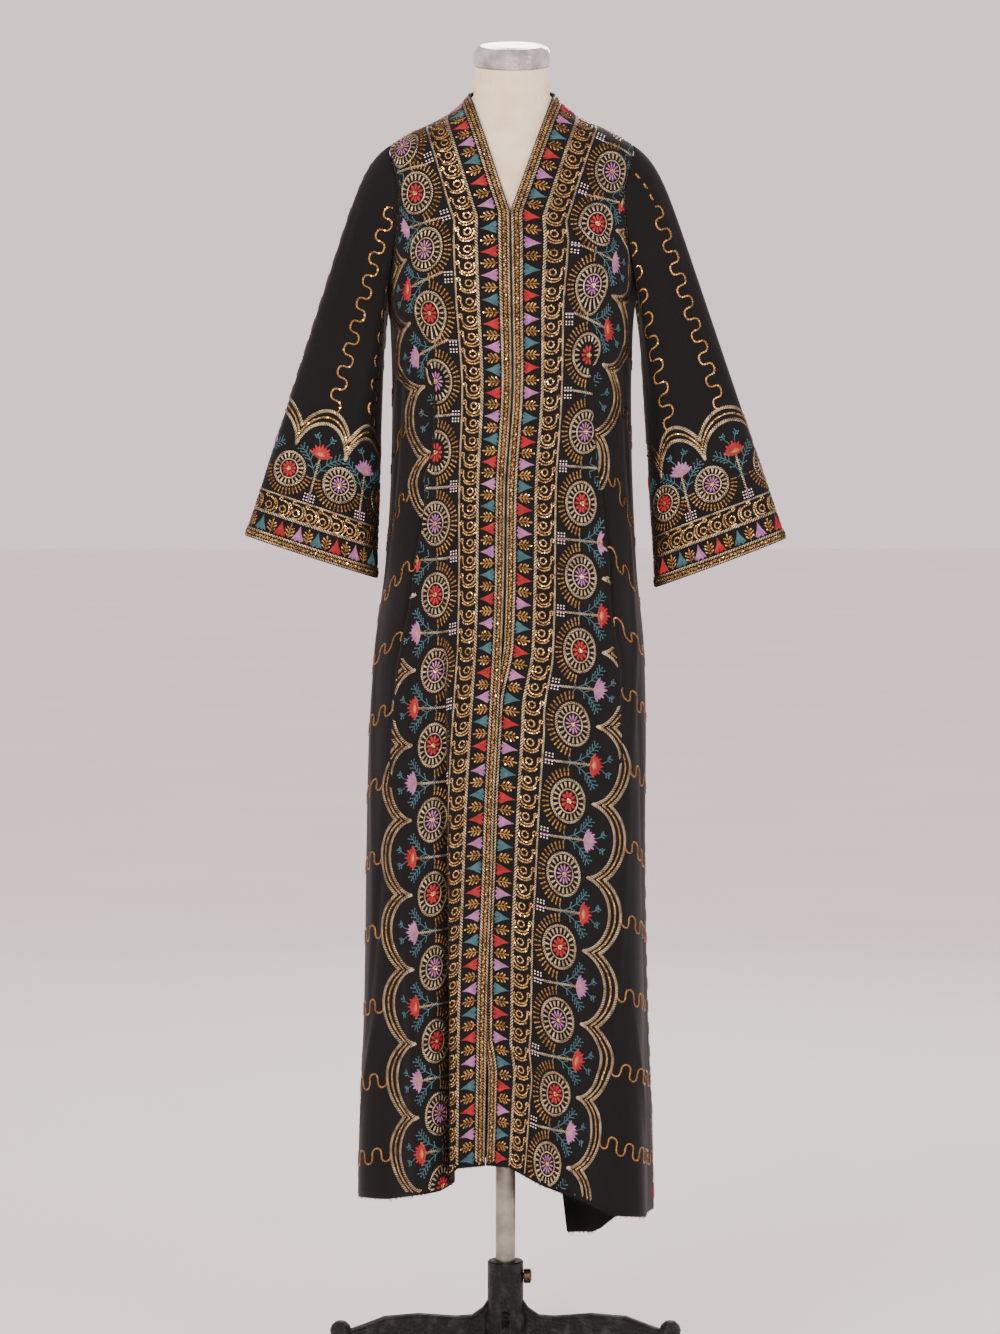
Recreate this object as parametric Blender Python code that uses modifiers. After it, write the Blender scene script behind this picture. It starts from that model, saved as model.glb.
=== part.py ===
"""Abaya on a dress form.

A long open robe with a V neck and wide straight sleeves hangs on a limbless torso form. The form stands on
a steel pole in a cast base with four legs. The front faces -Y, its wearer's left is at +X, and +Z is up.

Every cloth panel is an open grid of points on one body surface, thickened by a Solidify modifier. The body
surface is a stack of level sections. Each section is a superellipse whose half width and depths come from a
table, and folds push it in and out. An angle of 0 faces forward and grows towards +X.
"""

import math

import bmesh
import bpy
import numpy as np

# Cloth and seams, in metres
CLOTH = 0.0016
SEAM = 0.0007
ON_FORM = 0.0009
SMALLER_UNDER_CLOTH = 0.0034
BRAID_WIDTH = 0.0135
BRAID_THICK = 0.0010
BRAID_LIFT = 0.0005
SECTION_POWER = 2.25

# Heights above the floor
HEM_SIDE = 0.235
UNDERARM = 1.435
SHOULDER_TIP = 1.618
NECK_SIDE = 1.684
BACK_NECK_RISE = 0.011
NECK_TOP = 1.7225
TORSO_BOTTOM = 0.930

# The robe hangs free below the first of these heights and lies on the form above the second
RESTS_FROM = 1.47
RESTS_FULLY = 1.56
# The form is a little smaller under the cloth up to here, and has its full size this much higher
COVERED_TO = 1.688
COVER_FADE = 0.014

# The form leans to its left by this much between these heights
LEAN = 0.008
LEAN_FROM = 0.65
LEAN_TO = 1.20
NECK_TILT = math.radians(12)

# Armholes
ARMHOLE_SWEEP = math.radians(23)
ARMHOLE_STEPS = 14
SKIRT_STEPS = 12
NECK_SHARE_BACK = 5 / 12
COLUMNS_BACK = 24
COLUMNS_RIGHT = 23
COLUMNS_LEFT = 21
# Share of a front's width, above the bust, that its braid takes
BRAID_SHARE = 0.108
# Grid columns pass from their places above the bust to those in the skirt below this height
SKIRT_COLUMNS_FROM = 1.36
FRONT_COLUMNS_CHANGE = 0.26
BACK_COLUMNS_CHANGE = 0.40

# Centre front: the right front laps over the left one for part of its length
LAP_WIDTH = 0.012
LAP_SINK = 0.0042
LAP_TOP = 0.985
LAP_TOP_FADE = 0.085
LAP_BOTTOM = 0.430
LAP_BOTTOM_FADE = 0.075
SINK_LONGER = 0.13
SINK_WIDTH = 0.042

# Valley fold in the front on the wearer's right
VALLEY_X = -0.083
VALLEY_DEPTH = 0.034
VALLEY_WIDTH = 0.0068
VALLEY_TOP = 1.06
VALLEY_FULL = 0.30
VALLEY_GROWTH = 0.8
# Columns of the grid beside the valley, measured across it
VALLEY_COLUMNS = (-0.016, -0.010, -0.0065, -0.0032, 0.0, 0.0032, 0.0065, 0.010, 0.016)

# Sleeves
SLEEVE_SEAM_OFF = 0.0010
SLEEVE_HEAD = 0.024
HEAD_RISE = 0.055
CUFF_HALF_DEPTH = 0.034
CUFF_Y = -0.010

# Stand
POLE_RADIUS = 0.0130
POLE_IN_TORSO = 0.060
SOCKET_FLOOR = 0.030
HUB_TOP = 0.163
HUB_RADIUS = 0.0235
RUNNING_GAP = 0.0003
LEG_REACH = 0.2167
BALL_RADIUS = 0.0145
BALL_HEIGHT = 0.0686
SCREW_HEIGHT = 0.142
SCREW_SHANK = 0.004
CAP_RADIUS = 0.0495

FORM_COLUMNS = ("z", "half_width", "front", "back")
FORM = (
    (0.950, 0.1500, 0.1100, 0.1160),
    (1.020, 0.1540, 0.1140, 0.1220),
    (1.080, 0.1500, 0.1120, 0.1160),
    (1.160, 0.1330, 0.1040, 0.1000),
    (1.240, 0.1220, 0.1000, 0.0880),
    (1.300, 0.1280, 0.1080, 0.0900),
    (1.380, 0.1420, 0.1260, 0.0980),
    (1.440, 0.1520, 0.1310, 0.1030),
    (1.500, 0.1590, 0.1180, 0.1060),
    (1.550, 0.1640, 0.1030, 0.1040),
    (1.590, 0.1640, 0.0920, 0.0960),
    (1.612, 0.1590, 0.0840, 0.0900),
    (1.630, 0.1350, 0.0760, 0.0820),
    (1.650, 0.0930, 0.0680, 0.0730),
    (1.665, 0.0700, 0.0620, 0.0660),
    (1.684, 0.0525, 0.0560, 0.0570),
    (1.700, 0.0500, 0.0520, 0.0530),
    (1.7225, 0.0488, 0.0495, 0.0495),
)

# The torso's rounded lower rim: height above its bottom, and share of the full section
TORSO_RIM_COLUMNS = ("above", "share")
TORSO_RIM = ((0.0, 0.955), (0.004, 0.985), (0.014, 1.0))
TORSO_SEGMENTS = 36

ROBE_COLUMNS = ("z", "half_width", "front", "back")
ROBE = (
    (0.130, 0.1960, 0.1520, 0.1500),
    (0.274, 0.1930, 0.1500, 0.1470),
    (0.378, 0.1900, 0.1490, 0.1450),
    (0.508, 0.1850, 0.1470, 0.1420),
    (0.703, 0.1820, 0.1450, 0.1380),
    (0.833, 0.1810, 0.1430, 0.1350),
    (0.963, 0.1760, 0.1410, 0.1310),
    (1.080, 0.1630, 0.1390, 0.1270),
    (1.220, 0.1560, 0.1375, 0.1180),
    (1.300, 0.1550, 0.1370, 0.1130),
    (1.380, 0.1570, 0.1365, 0.1100),
    (1.440, 0.1620, 0.1345, 0.1090),
    (1.500, 0.1640, 0.1215, 0.1090),
)

# Where the two fronts meet, from the V down to the hem
EDGE_COLUMNS = ("z", "x")
EDGE = (
    (0.300, -0.0260),
    (0.370, -0.0248),
    (0.530, -0.0222),
    (0.693, -0.0160),
    (0.783, -0.0133),
    (0.910, -0.0070),
    (1.065, -0.0010),
    (1.176, 0.0006),
    (1.322, 0.0088),
    (1.440, 0.0070),
    (1.529, 0.0057),
)
V_BOTTOM = 1.5306

# Hem height round the robe, by the angle in degrees, 0 at the front and 90 at its left side
HEM_COLUMNS = ("angle", "z")
HEM = (
    (-90, 0.254),
    (-58, 0.262),
    (-44, 0.272),
    (-33, 0.279),
    (-27, 0.300),
    (-23, 0.311),
    (-9, 0.3155),
    (2, 0.313),
    (17, 0.290),
    (36, 0.268),
    (52, 0.243),
    (70, 0.234),
    (90, 0.232),
    (110, 0.222),
    (122, 0.205),
    (131, 0.184),
    (137, 0.175),
    (150.2, 0.171),
    (153.0, 0.255),
    (165, 0.270),
    (200, 0.272),
    (235, 0.262),
    (270, 0.254),
)
# The last column before the hanging corner of the back hem, and the first after it
CORNER_ANGLES = (90, 99, 108, 116, 124, 131, 138, 144.5, 150.2, 153.0)

# Soft folds that run down the skirt; depth is outward, and each fades out at its top
FOLD_COLUMNS = ("angle", "depth", "width", "top", "drift")
FOLDS = (
    (-38, 0.0060, 7, 0.95, 4),
    (-55, -0.0050, 8, 1.00, 6),
    (-72, 0.0055, 8, 0.90, 4),
    (30, 0.0035, 10, 1.00, -4),
    (47, -0.0050, 9, 1.10, -6),
    (63, 0.0060, 9, 0.95, 2),
    (80, -0.0055, 8, 0.85, 4),
    (104, 0.0065, 9, 1.00, -5),
    (126, -0.0070, 10, 1.15, 4),
    (146, 0.0080, 9, 1.05, 6),
    (168, -0.0065, 9, 0.95, -3),
    (188, 0.0080, 10, 1.20, 2),
    (209, -0.0070, 9, 1.00, -4),
    (229, 0.0070, 9, 1.10, 5),
    (250, -0.0060, 8, 0.95, -4),
)

# Cuff corners, at the wearer's right (-X) and left (+X)
CUFF_COLUMNS = ("side", "outer_x", "outer_z", "inner_x", "inner_z")
CUFFS = (
    (-1, -0.3374, 1.1165, -0.1670, 1.0610),
    (1, 0.3634, 1.1125, 0.1944, 1.0490),
)
SLEEVE_STATIONS = (0, 0.02, 0.05, 0.10, 0.17, 0.26, 0.36, 0.47, 0.58, 0.69, 0.80, 0.90, 0.974, 1)
SLEEVE_FOLD_COLUMNS = ("angle", "depth", "width", "middle", "reach")
SLEEVE_FOLDS = (
    (60, -0.0040, 18, 0.35, 0.25),
    (105, 0.0035, 18, 0.60, 0.30),
    (250, -0.0040, 20, 0.45, 0.30),
    (300, 0.0035, 18, 0.65, 0.25),
)

# Leg of the cast base: distance from the pole, height of its top edge and of its lower edge
LEG_COLUMNS = ("out", "top", "under")
LEG = (
    (0.0150, 0.124, 0.022),
    (0.0300, 0.101, 0.027),
    (0.0440, 0.091, 0.034),
    (0.0650, 0.0895, 0.042),
    (0.1140, 0.0928, 0.050),
    (0.1590, 0.0890, 0.053),
    (0.1860, 0.0785, 0.052),
    (0.2100, 0.0700, 0.056),
)

PARTS = bpy.data.collections.new("abaya_on_form")
CUTTERS = bpy.data.collections.new("cutters")


def smooth(t):
    """A step from 0 to 1 that starts and ends level."""
    t = np.clip(t, 0.0, 1.0)
    return t * t * (3 - 2 * t)


def column(rows, columns, name):
    """One named column of a table, as an array."""
    return np.array([row[columns.index(name)] for row in rows], float)


def curve_through(xs, ys, x):
    """A cubic through the points of a table that never overshoots them."""
    step = np.diff(xs)
    slope = np.diff(ys) / step
    flat = slope[:-1] * slope[1:] <= 0
    mean = 2 * slope[:-1] * slope[1:] / np.where(flat, 1.0, slope[:-1] + slope[1:])
    tangent = np.concatenate([[slope[0]], np.where(flat, 0.0, mean), [slope[-1]]])
    i = np.clip(np.searchsorted(xs, x) - 1, 0, len(step) - 1)
    h = step[i]
    t = np.clip((x - xs[i]) / h, 0.0, 1.0)
    return (
        ys[i] * (1 + 2 * t) * (1 - t) ** 2
        + h * tangent[i] * t * (1 - t) ** 2
        + ys[i + 1] * t * t * (3 - 2 * t)
        + h * tangent[i + 1] * t * t * (t - 1)
    )


def lean(z):
    """How far the middle of a level section lies towards +X."""
    return LEAN * smooth((z - LEAN_FROM) / (LEAN_TO - LEAN_FROM))


def form_size(name, z):
    """Half width or depth of the torso form at a height."""
    return curve_through(column(FORM, FORM_COLUMNS, "z"), column(FORM, FORM_COLUMNS, name), z)


def robe_size(name, z):
    """Half width or depth of the robe: its own table below, the form's own at the shoulders."""
    own = curve_through(column(ROBE, ROBE_COLUMNS, "z"), column(ROBE, ROBE_COLUMNS, name), z)
    weight = on_shoulders(z)
    return own * (1 - weight) + form_size(name, z) * weight


def on_shoulders(z):
    """1 where the robe lies on the form, 0 where it hangs free."""
    return smooth((z - RESTS_FROM) / (RESTS_FULLY - RESTS_FROM))


def section_reach(angle, half_width, depth):
    """Distance from a section's middle to its outline in the direction of an angle."""
    across = (np.abs(np.sin(angle)) / half_width) ** SECTION_POWER
    along = (np.abs(np.cos(angle)) / depth) ** SECTION_POWER
    return (across + along) ** (-1 / SECTION_POWER)


def robe_reach(angle, z):
    """Distance of the robe's surface from its section's middle, with no folds."""
    depth = np.where(np.cos(angle) > 0, robe_size("front", z), robe_size("back", z))
    return section_reach(angle, robe_size("half_width", z), depth)


def angle_at(x, z):
    """Angle at which the front of the robe has that distance from the section's middle."""
    half_width = robe_size("half_width", z)
    share = np.clip(np.abs(x) / half_width, 0.0, 1.0)
    y = robe_size("front", z) * (1 - share**SECTION_POWER) ** (1 / SECTION_POWER)
    return np.arctan2(np.clip(x, -half_width, half_width), y)


def valley_angle(z):
    """Angle of the deep valley fold."""
    return angle_at(VALLEY_X - lean(z), z)


def valley_depth(z):
    """Depth of the valley fold, from nothing at its top to full just above the hem."""
    share = np.clip((VALLEY_TOP - z) / (VALLEY_TOP - VALLEY_FULL), 0.0, 1.0)
    return VALLEY_DEPTH * share**VALLEY_GROWTH


def fold_offset(angle, z):
    """How far the folds push the robe's surface outwards."""
    out = np.zeros(np.broadcast(angle, z).shape)
    turn = 2 * math.pi
    for middle, depth, width, top, drift in FOLDS:
        grown = smooth((top - z) / (top - HEM_SIDE))
        at = np.radians(middle + drift * (1 - grown))
        away = (angle - at + math.pi) % turn - math.pi
        out = out + depth * grown * np.exp(-((away / math.radians(width)) ** 2))
    across = (angle - valley_angle(z)) * robe_reach(angle, z)
    return out - valley_depth(z) * np.exp(-((across / VALLEY_WIDTH) ** 2))


def lap(z, before=0.0):
    """1 where the right front laps over the left one, 0 elsewhere; before widens the stretch."""
    upper = smooth((LAP_TOP + before - z) / LAP_TOP_FADE)
    lower = smooth((z - LAP_BOTTOM + before) / LAP_BOTTOM_FADE)
    return upper * lower


def hung_point(angle, z, sink=0.0):
    """Points of the surface that the tables and the folds give."""
    reach = robe_reach(angle, z) + fold_offset(angle, z) - sink
    return np.stack([lean(z) + reach * np.sin(angle), -reach * np.cos(angle), z + 0 * reach], axis=-1)


def outward(surface, angle, z):
    """Outward normals of a surface of angle and height, from two short steps on it."""
    step = 1e-4
    round_it = surface(angle + step, z) - surface(angle - step, z)
    up_it = surface(angle, z + step) - surface(angle, z - step)
    normal = np.cross(round_it, up_it)
    return normal / np.linalg.norm(normal, axis=-1, keepdims=True)


def robe_point(angle, z, sink=0.0):
    """Points of the robe's outer surface: the cloth's thickness above the form where it lies on it."""
    lift = (CLOTH + ON_FORM) * on_shoulders(z)
    return hung_point(angle, z, sink) + lift[..., None] * outward(hung_point, angle, z)


def robe_normal(angle, z):
    """Outward normals of the robe's outer surface."""
    return outward(robe_point, angle, z)


def edge_x(z):
    """Where the two fronts meet below the V."""
    return curve_through(column(EDGE, EDGE_COLUMNS, "z"), column(EDGE, EDGE_COLUMNS, "x"), z)


def front_edge_angle(z, side):
    """Angle of a front's edge: down the centre, then up the V to the side of the neck."""
    neck = lean(NECK_SIDE) + side * robe_size("half_width", np.array(NECK_SIDE))
    start = edge_x(np.array(V_BOTTOM))
    rise = np.clip((z - V_BOTTOM) / (NECK_SIDE - V_BOTTOM), 0.0, 1.0)
    v_edge = start + (neck - start) * rise
    overlap = LAP_WIDTH * lap(z) if side > 0 else 0.0
    centre = edge_x(z) + side * SEAM / 2 - overlap
    return angle_at(np.where(z > V_BOTTOM, v_edge + side * SEAM / 2, centre) - lean(z), z)


def seam_angle(z):
    """Half a seam's gap, as an angle at the side of the robe."""
    return SEAM / 2 / robe_size("half_width", z)


def armhole_sweep(z):
    """Angle from the side of the robe to the armhole's edge."""
    share = np.clip((z - UNDERARM) / (SHOULDER_TIP - UNDERARM), 0.0, 1.0)
    return ARMHOLE_SWEEP * np.sqrt(np.clip(4 * share * (1 - share), 0.0, 1.0))


def row_heights():
    """Heights of the rows at the side seam and the armhole, hem to shoulder tip."""
    skirt = np.linspace(HEM_SIDE, UNDERARM, SKIRT_STEPS + 1)
    turn = math.pi - math.pi * np.arange(1, ARMHOLE_STEPS + 1) / ARMHOLE_STEPS
    armhole = UNDERARM + (SHOULDER_TIP - UNDERARM) * (1 + np.cos(turn)) / 2
    return np.concatenate([skirt, armhole])


def hem_height(angle):
    """Height of the hem at an angle."""
    return np.interp(
        np.degrees(angle), column(HEM, HEM_COLUMNS, "angle"), column(HEM, HEM_COLUMNS, "z")
    )


def grid_heights(hem, top):
    """Height of each row and column: level rows, bent to the hem below and the shoulder above."""
    rows = row_heights()[:, None]
    below = np.clip((UNDERARM - rows) / (UNDERARM - HEM_SIDE), 0.0, 1.0)
    above = np.clip((rows - UNDERARM) / (SHOULDER_TIP - UNDERARM), 0.0, 1.0) ** 2
    return rows + (hem[None, :] - HEM_SIDE) * below + (top[None, :] - SHOULDER_TIP) * above


def shoulder_share(z, neck_share):
    """Share of a half panel's columns that still lie below the shoulder seam at a height."""
    rise = np.clip((z - SHOULDER_TIP) / (NECK_SIDE - SHOULDER_TIP), 0.0, 1.0)
    return 1 + (neck_share - 1) * rise


def front_grid(side):
    """Angles and heights of a front panel's points. side is -1 at -X and 1 at +X.

    Columns start with the braid's width at the edge. Below the bust those of the front at -X close up
    round the valley fold; above it they are even, and each ends on the shoulder seam.
    """
    count = COLUMNS_RIGHT if side < 0 else COLUMNS_LEFT
    number = np.arange(count)
    even = np.concatenate([[0.0], np.linspace(BRAID_SHARE, 1.0, count - 1)])
    top = NECK_SIDE + (SHOULDER_TIP - NECK_SIDE) * even
    first_near, after_near = 3, 3 + len(VALLEY_COLUMNS)
    near_valley = np.zeros(count)
    near_valley[first_near:after_near] = VALLEY_COLUMNS

    def share(z):
        first = side * front_edge_angle(z, side)
        span = np.maximum(math.pi / 2 - first, 1e-3)
        start = BRAID_WIDTH / robe_size("front", z) / span
        if side > 0:
            hem_share = start + (1 - start) * (even - BRAID_SHARE) / (1 - BRAID_SHARE)
        else:
            scale = robe_reach(valley_angle(z), z) * span
            to_valley = (side * valley_angle(z) - first) / span
            placed = to_valley + near_valley / scale
            last = to_valley + VALLEY_COLUMNS[-1] / scale
            rest = last + (1 - last) * (number - after_near + 1) / (count - after_near)
            between = (start + to_valley + VALLEY_COLUMNS[0] / scale) / 2
            lead = np.where(number == 1, start, between)
            hem_share = np.where(number < first_near, lead, np.where(number < after_near, placed, rest))
        hem_share = np.where(number == 0, 0.0, hem_share)
        weight = smooth((SKIRT_COLUMNS_FROM - z) / FRONT_COLUMNS_CHANGE)
        return even * (1 - weight) + hem_share * weight

    low = np.full(count, HEM_SIDE)
    for _ in range(3):
        first = side * front_edge_angle(low, side)
        angle = side * (first + (math.pi / 2 - first) * share(low))
        low = hem_height(angle)
    z = grid_heights(low, top)
    first = side * front_edge_angle(z, side)
    last = math.pi / 2 - seam_angle(z) - armhole_sweep(z)
    part = np.clip(share(z) / np.maximum(shoulder_share(z, 0.0), 1e-6), 0.0, 1.0)
    part = np.where(z >= NECK_SIDE - 1e-6, 1.0, part)
    return side * (first + (last - first) * part), z


def back_grid():
    """Angles and heights of the back panel's points, from its left side seam round to its right one."""
    corner = np.radians(CORNER_ANGLES)
    rest = np.linspace(corner[-1], 1.5 * math.pi, COLUMNS_BACK + 2 - len(corner))[1:]
    hem_share = np.concatenate([corner, rest]) / (math.pi / 2) - 2
    even = np.linspace(-1, 1, COLUMNS_BACK + 1)
    away = np.abs(even)
    on_neck = away < NECK_SHARE_BACK - 1e-6
    rise = BACK_NECK_RISE * np.cos(math.pi / 2 * away / NECK_SHARE_BACK)
    down = (away - NECK_SHARE_BACK) / (1 - NECK_SHARE_BACK)
    top = np.where(on_neck, NECK_SIDE + rise, NECK_SIDE + (SHOULDER_TIP - NECK_SIDE) * down)
    low = hem_height(math.pi + hem_share * math.pi / 2)
    z = grid_heights(low, top)
    weight = smooth((SKIRT_COLUMNS_FROM - z) / BACK_COLUMNS_CHANGE)
    share = even * (1 - weight) + hem_share * weight
    part = np.clip(share / shoulder_share(z, NECK_SHARE_BACK), -1.0, 1.0)
    half = math.pi / 2 - seam_angle(z) - armhole_sweep(z)
    return math.pi + half * part, z


def material(name, colour, roughness, metallic=0.0):
    """A plain Principled material."""
    made = bpy.data.materials.new(name)
    made.use_nodes = True
    shader = made.node_tree.nodes["Principled BSDF"]
    shader.inputs["Base Color"].default_value = (*colour, 1.0)
    shader.inputs["Roughness"].default_value = roughness
    shader.inputs["Metallic"].default_value = metallic
    made.diffuse_color = (*colour, 1.0)
    return made


def add_object(name, mesh, finish):
    """Puts a mesh in the collection of parts under its name and with its material."""
    made = bpy.data.objects.new(name, mesh)
    made.data.materials.append(finish)
    PARTS.objects.link(made)
    return made


def grid_mesh(name, points, closed=False):
    """A mesh of triangles over a grid of points, facing the side where rows x columns points."""
    rows, columns = points.shape[:2]
    last = columns if closed else columns - 1
    faces = []
    for i in range(rows - 1):
        for j in range(last):
            k = (j + 1) % columns
            a, b = i * columns + j, i * columns + k
            c, d = (i + 1) * columns + k, (i + 1) * columns + j
            faces += [(a, b, c), (a, c, d)]
    mesh = bpy.data.meshes.new(name)
    mesh.from_pydata([tuple(p) for p in points.reshape(-1, 3)], [], faces)
    work = bmesh.new()
    work.from_mesh(mesh)
    bmesh.ops.remove_doubles(work, verts=work.verts, dist=1e-5)
    bmesh.ops.dissolve_degenerate(work, dist=1e-6, edges=work.edges)
    work.to_mesh(mesh)
    work.free()
    mesh.shade_smooth()
    return mesh


def thicken(made, thickness):
    """Gives an open surface its wall, on its inner side."""
    wall = made.modifiers.new("wall", "SOLIDIFY")
    wall.thickness = thickness
    wall.offset = -1.0
    wall.use_even_offset = False
    wall.use_quality_normals = True
    return made


def add_front(name, side, finish):
    """One front panel. The front at +X sinks behind the other where they lap."""
    angle, z = front_grid(side)
    sink = np.zeros(z.shape)
    if side > 0:
        from_edge = (angle - front_edge_angle(z, side)) * robe_reach(angle, z)
        sink = LAP_SINK * lap(z, SINK_LONGER) * np.exp(-((from_edge / SINK_WIDTH) ** 2))
    points = robe_point(angle, z, sink)
    shown = points if side > 0 else points[:, ::-1]
    thicken(add_object(name, grid_mesh(name, shown), finish), CLOTH)
    return points, robe_normal(angle, z)


def add_strip(name, points, normals, flip, finish):
    """A braid on a panel: its first two columns of points, moved out by the braid's height."""
    strip = points[:, :2] + (BRAID_LIFT + BRAID_THICK) * normals[:, :2]
    shown = strip[:, ::-1] if flip else strip
    return thicken(add_object(name, grid_mesh(name, shown), finish), BRAID_THICK)


def add_back(name, finish):
    """The back panel, side seam to side seam."""
    angle, z = back_grid()
    points = robe_point(angle, z)
    thicken(add_object(name, grid_mesh(name, points), finish), CLOTH)
    return points, robe_normal(angle, z)


def armhole_ring(side):
    """Points of the armhole, tip first, then down the front and up the back, just clear of the panels."""
    heights = row_heights()[SKIRT_STEPS:]
    down, up = heights[::-1], heights[1:-1]
    z = np.concatenate([down, up])
    sweep = armhole_sweep(z)
    turn = np.concatenate([-sweep[: len(down)], sweep[len(down) :]])
    angle = side * (math.pi / 2 + turn)
    points, normals = robe_point(angle, z), robe_normal(angle, z)
    inward = robe_point(side * math.pi / 2 * np.ones(1), np.array([(UNDERARM + SHOULDER_TIP) / 2])) - points
    inward = inward - (inward * normals).sum(1, keepdims=True) * normals
    inward = inward / np.linalg.norm(inward, axis=1, keepdims=True)
    return points + SLEEVE_SEAM_OFF * (normals + 0.8 * inward)


def sleeve_grid(side):
    """Rings of a sleeve from the armhole to the cuff.

    Straight lines join each point of the armhole to its point on the flat oval cuff. The head of the
    sleeve stands out over the shoulder, and soft folds push the cloth in and out.
    """
    row = next(r for r in CUFFS if r[0] == side)
    outer = np.array([row[1], CUFF_Y, row[2]])
    inner = np.array([row[3], CUFF_Y, row[4]])
    ring = armhole_ring(side)
    turn = 2 * math.pi * np.arange(len(ring)) / len(ring)
    middle, half = (outer + inner) / 2, (outer - inner) / 2
    depth = -CUFF_HALF_DEPTH * np.sign(np.sin(turn)) * np.abs(np.sin(turn)) ** 0.8
    cuff = middle + np.cos(turn)[:, None] * half + depth[:, None] * np.array([0.0, 1.0, 0.0])
    v = np.array(SLEEVE_STATIONS)[:, None]
    line = (outer - ring[0]) / np.linalg.norm(outer - ring[0])
    out = np.array([side * abs(line[2]), 0.0, abs(line[0])])
    head = SLEEVE_HEAD * (1 - v) * (1 - np.exp(-v / HEAD_RISE)) * np.cos(turn / 2) ** 2
    head = head * smooth((np.cos(turn) + 0.2) / 0.8)
    points = ring[None] * (1 - v[..., None]) + cuff[None] * v[..., None] + head[..., None] * out
    to_edge = points - points.mean(axis=1, keepdims=True)
    to_edge = to_edge / np.linalg.norm(to_edge, axis=2, keepdims=True)
    fold = np.zeros(points.shape[:2])
    for at, deep, width, along, reach in SLEEVE_FOLDS:
        away = (np.degrees(turn) - at + 180) % 360 - 180
        fold = fold + deep * np.exp(-((away / width) ** 2)) * np.exp(-(((v - along) / reach) ** 2))
    fold = fold * np.clip(v / 0.1, 0, 1) * np.clip((1 - v) / 0.05, 0, 1)
    return points + fold[..., None] * to_edge


def ring_normals(points):
    """Outward normals of a tube of rings, from each point's neighbours."""
    around = np.roll(points, -1, axis=1) - np.roll(points, 1, axis=1)
    along = np.gradient(points, axis=0)
    normal = np.cross(around, along)
    normal = normal / np.linalg.norm(normal, axis=2, keepdims=True)
    outward = points - points.mean(axis=1, keepdims=True)
    return normal * np.sign((normal * outward).sum(axis=(1, 2)))[:, None, None]


def add_sleeve(name, side, finish, braid_name, braid_finish):
    """A sleeve and the braid round its cuff."""
    points = sleeve_grid(side)
    shown = points[:, ::-1] if side < 0 else points
    thicken(add_object(name, grid_mesh(name, shown, True), finish), CLOTH)
    raised = points[-2:] + (BRAID_LIFT + BRAID_THICK) * ring_normals(points)[-2:]
    shown = raised[:, ::-1] if side < 0 else raised
    thicken(add_object(braid_name, grid_mesh(braid_name, shown, True), braid_finish), BRAID_THICK)


def turned(name, profile, segments, finish, where=None):
    """A turned solid: a profile of radius and height, top to bottom, screwed round Z."""
    mesh = bpy.data.meshes.new(name)
    mesh.from_pydata([(r, 0.0, z) for r, z in profile], [(i, i + 1) for i in range(len(profile) - 1)], [])
    made = bpy.data.objects.new(name, mesh)
    made.data.materials.append(finish)
    (where or PARTS).objects.link(made)
    screw = made.modifiers.new("turn", "SCREW")
    screw.steps = segments
    screw.render_steps = segments
    screw.use_merge_vertices = True
    screw.merge_threshold = 1e-5
    return made


def as_tool(made):
    """Marks an object as a tool for a Boolean modifier."""
    made.hide_render = True
    made.display_type = "WIRE"
    return made


def tool_cylinder(name, radius, start, end, sides=32):
    """A cylinder between two points, kept as a tool for a Boolean modifier."""
    bpy.ops.mesh.primitive_cylinder_add(vertices=sides, radius=radius, depth=math.dist(start, end))
    made = bpy.context.active_object
    made.name = name
    made.location = [(a + b) / 2 for a, b in zip(start, end)]
    if abs(end[0] - start[0]) > 1e-6:
        made.rotation_euler = (0.0, math.pi / 2, 0.0)
    for held in list(made.users_collection):
        held.objects.unlink(made)
    CUTTERS.objects.link(made)
    return as_tool(made)


def combine(made, tool, operation):
    """Adds or cuts a tool from an object with the exact solver."""
    step = made.modifiers.new(operation.lower() + "_" + tool.name, "BOOLEAN")
    step.operation = operation
    step.object = tool
    step.solver = "EXACT"


def add_torso(finish):
    """The limbless torso: level sections with a rounded lower rim, the neck tilted forward."""
    low = TORSO_BOTTOM + column(TORSO_RIM, TORSO_RIM_COLUMNS, "above")
    own = column(FORM, FORM_COLUMNS, "z")[1:]
    heights = np.concatenate([low, [(low[-1] + own[0]) / 2], own])
    narrow = np.concatenate([column(TORSO_RIM, TORSO_RIM_COLUMNS, "share"), np.ones(len(own) + 1)])
    turn = 2 * math.pi * np.arange(TORSO_SEGMENTS) / TORSO_SEGMENTS
    rings = []
    for z, share in zip(heights, narrow):
        depth = np.where(np.cos(turn) > 0, form_size("front", z), form_size("back", z))
        covered = on_shoulders(z) * (1 - smooth((z - COVERED_TO) / COVER_FADE))
        reach = share * section_reach(turn, form_size("half_width", z), depth) - SMALLER_UNDER_CLOTH * covered
        x, y = lean(z) + reach * np.sin(turn), -reach * np.cos(turn)
        tilt = math.tan(NECK_TILT) * smooth((z - NECK_SIDE) / (NECK_TOP - NECK_SIDE))
        rings.append(np.stack([x, y, z + tilt * y], axis=1))
    mesh = grid_mesh("torso_form", np.array(rings), True)
    work = bmesh.new()
    work.from_mesh(mesh)
    bmesh.ops.holes_fill(work, edges=[e for e in work.edges if e.is_boundary], sides=0)
    bmesh.ops.recalc_face_normals(work, faces=work.faces)
    work.to_mesh(mesh)
    work.free()
    made = add_object("torso_form", mesh, finish)
    top = TORSO_BOTTOM + POLE_IN_TORSO
    bore = tool_cylinder("pole_bore", POLE_RADIUS + RUNNING_GAP, (0, 0, 0.8), (0, 0, top))
    combine(made, bore, "DIFFERENCE")


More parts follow.
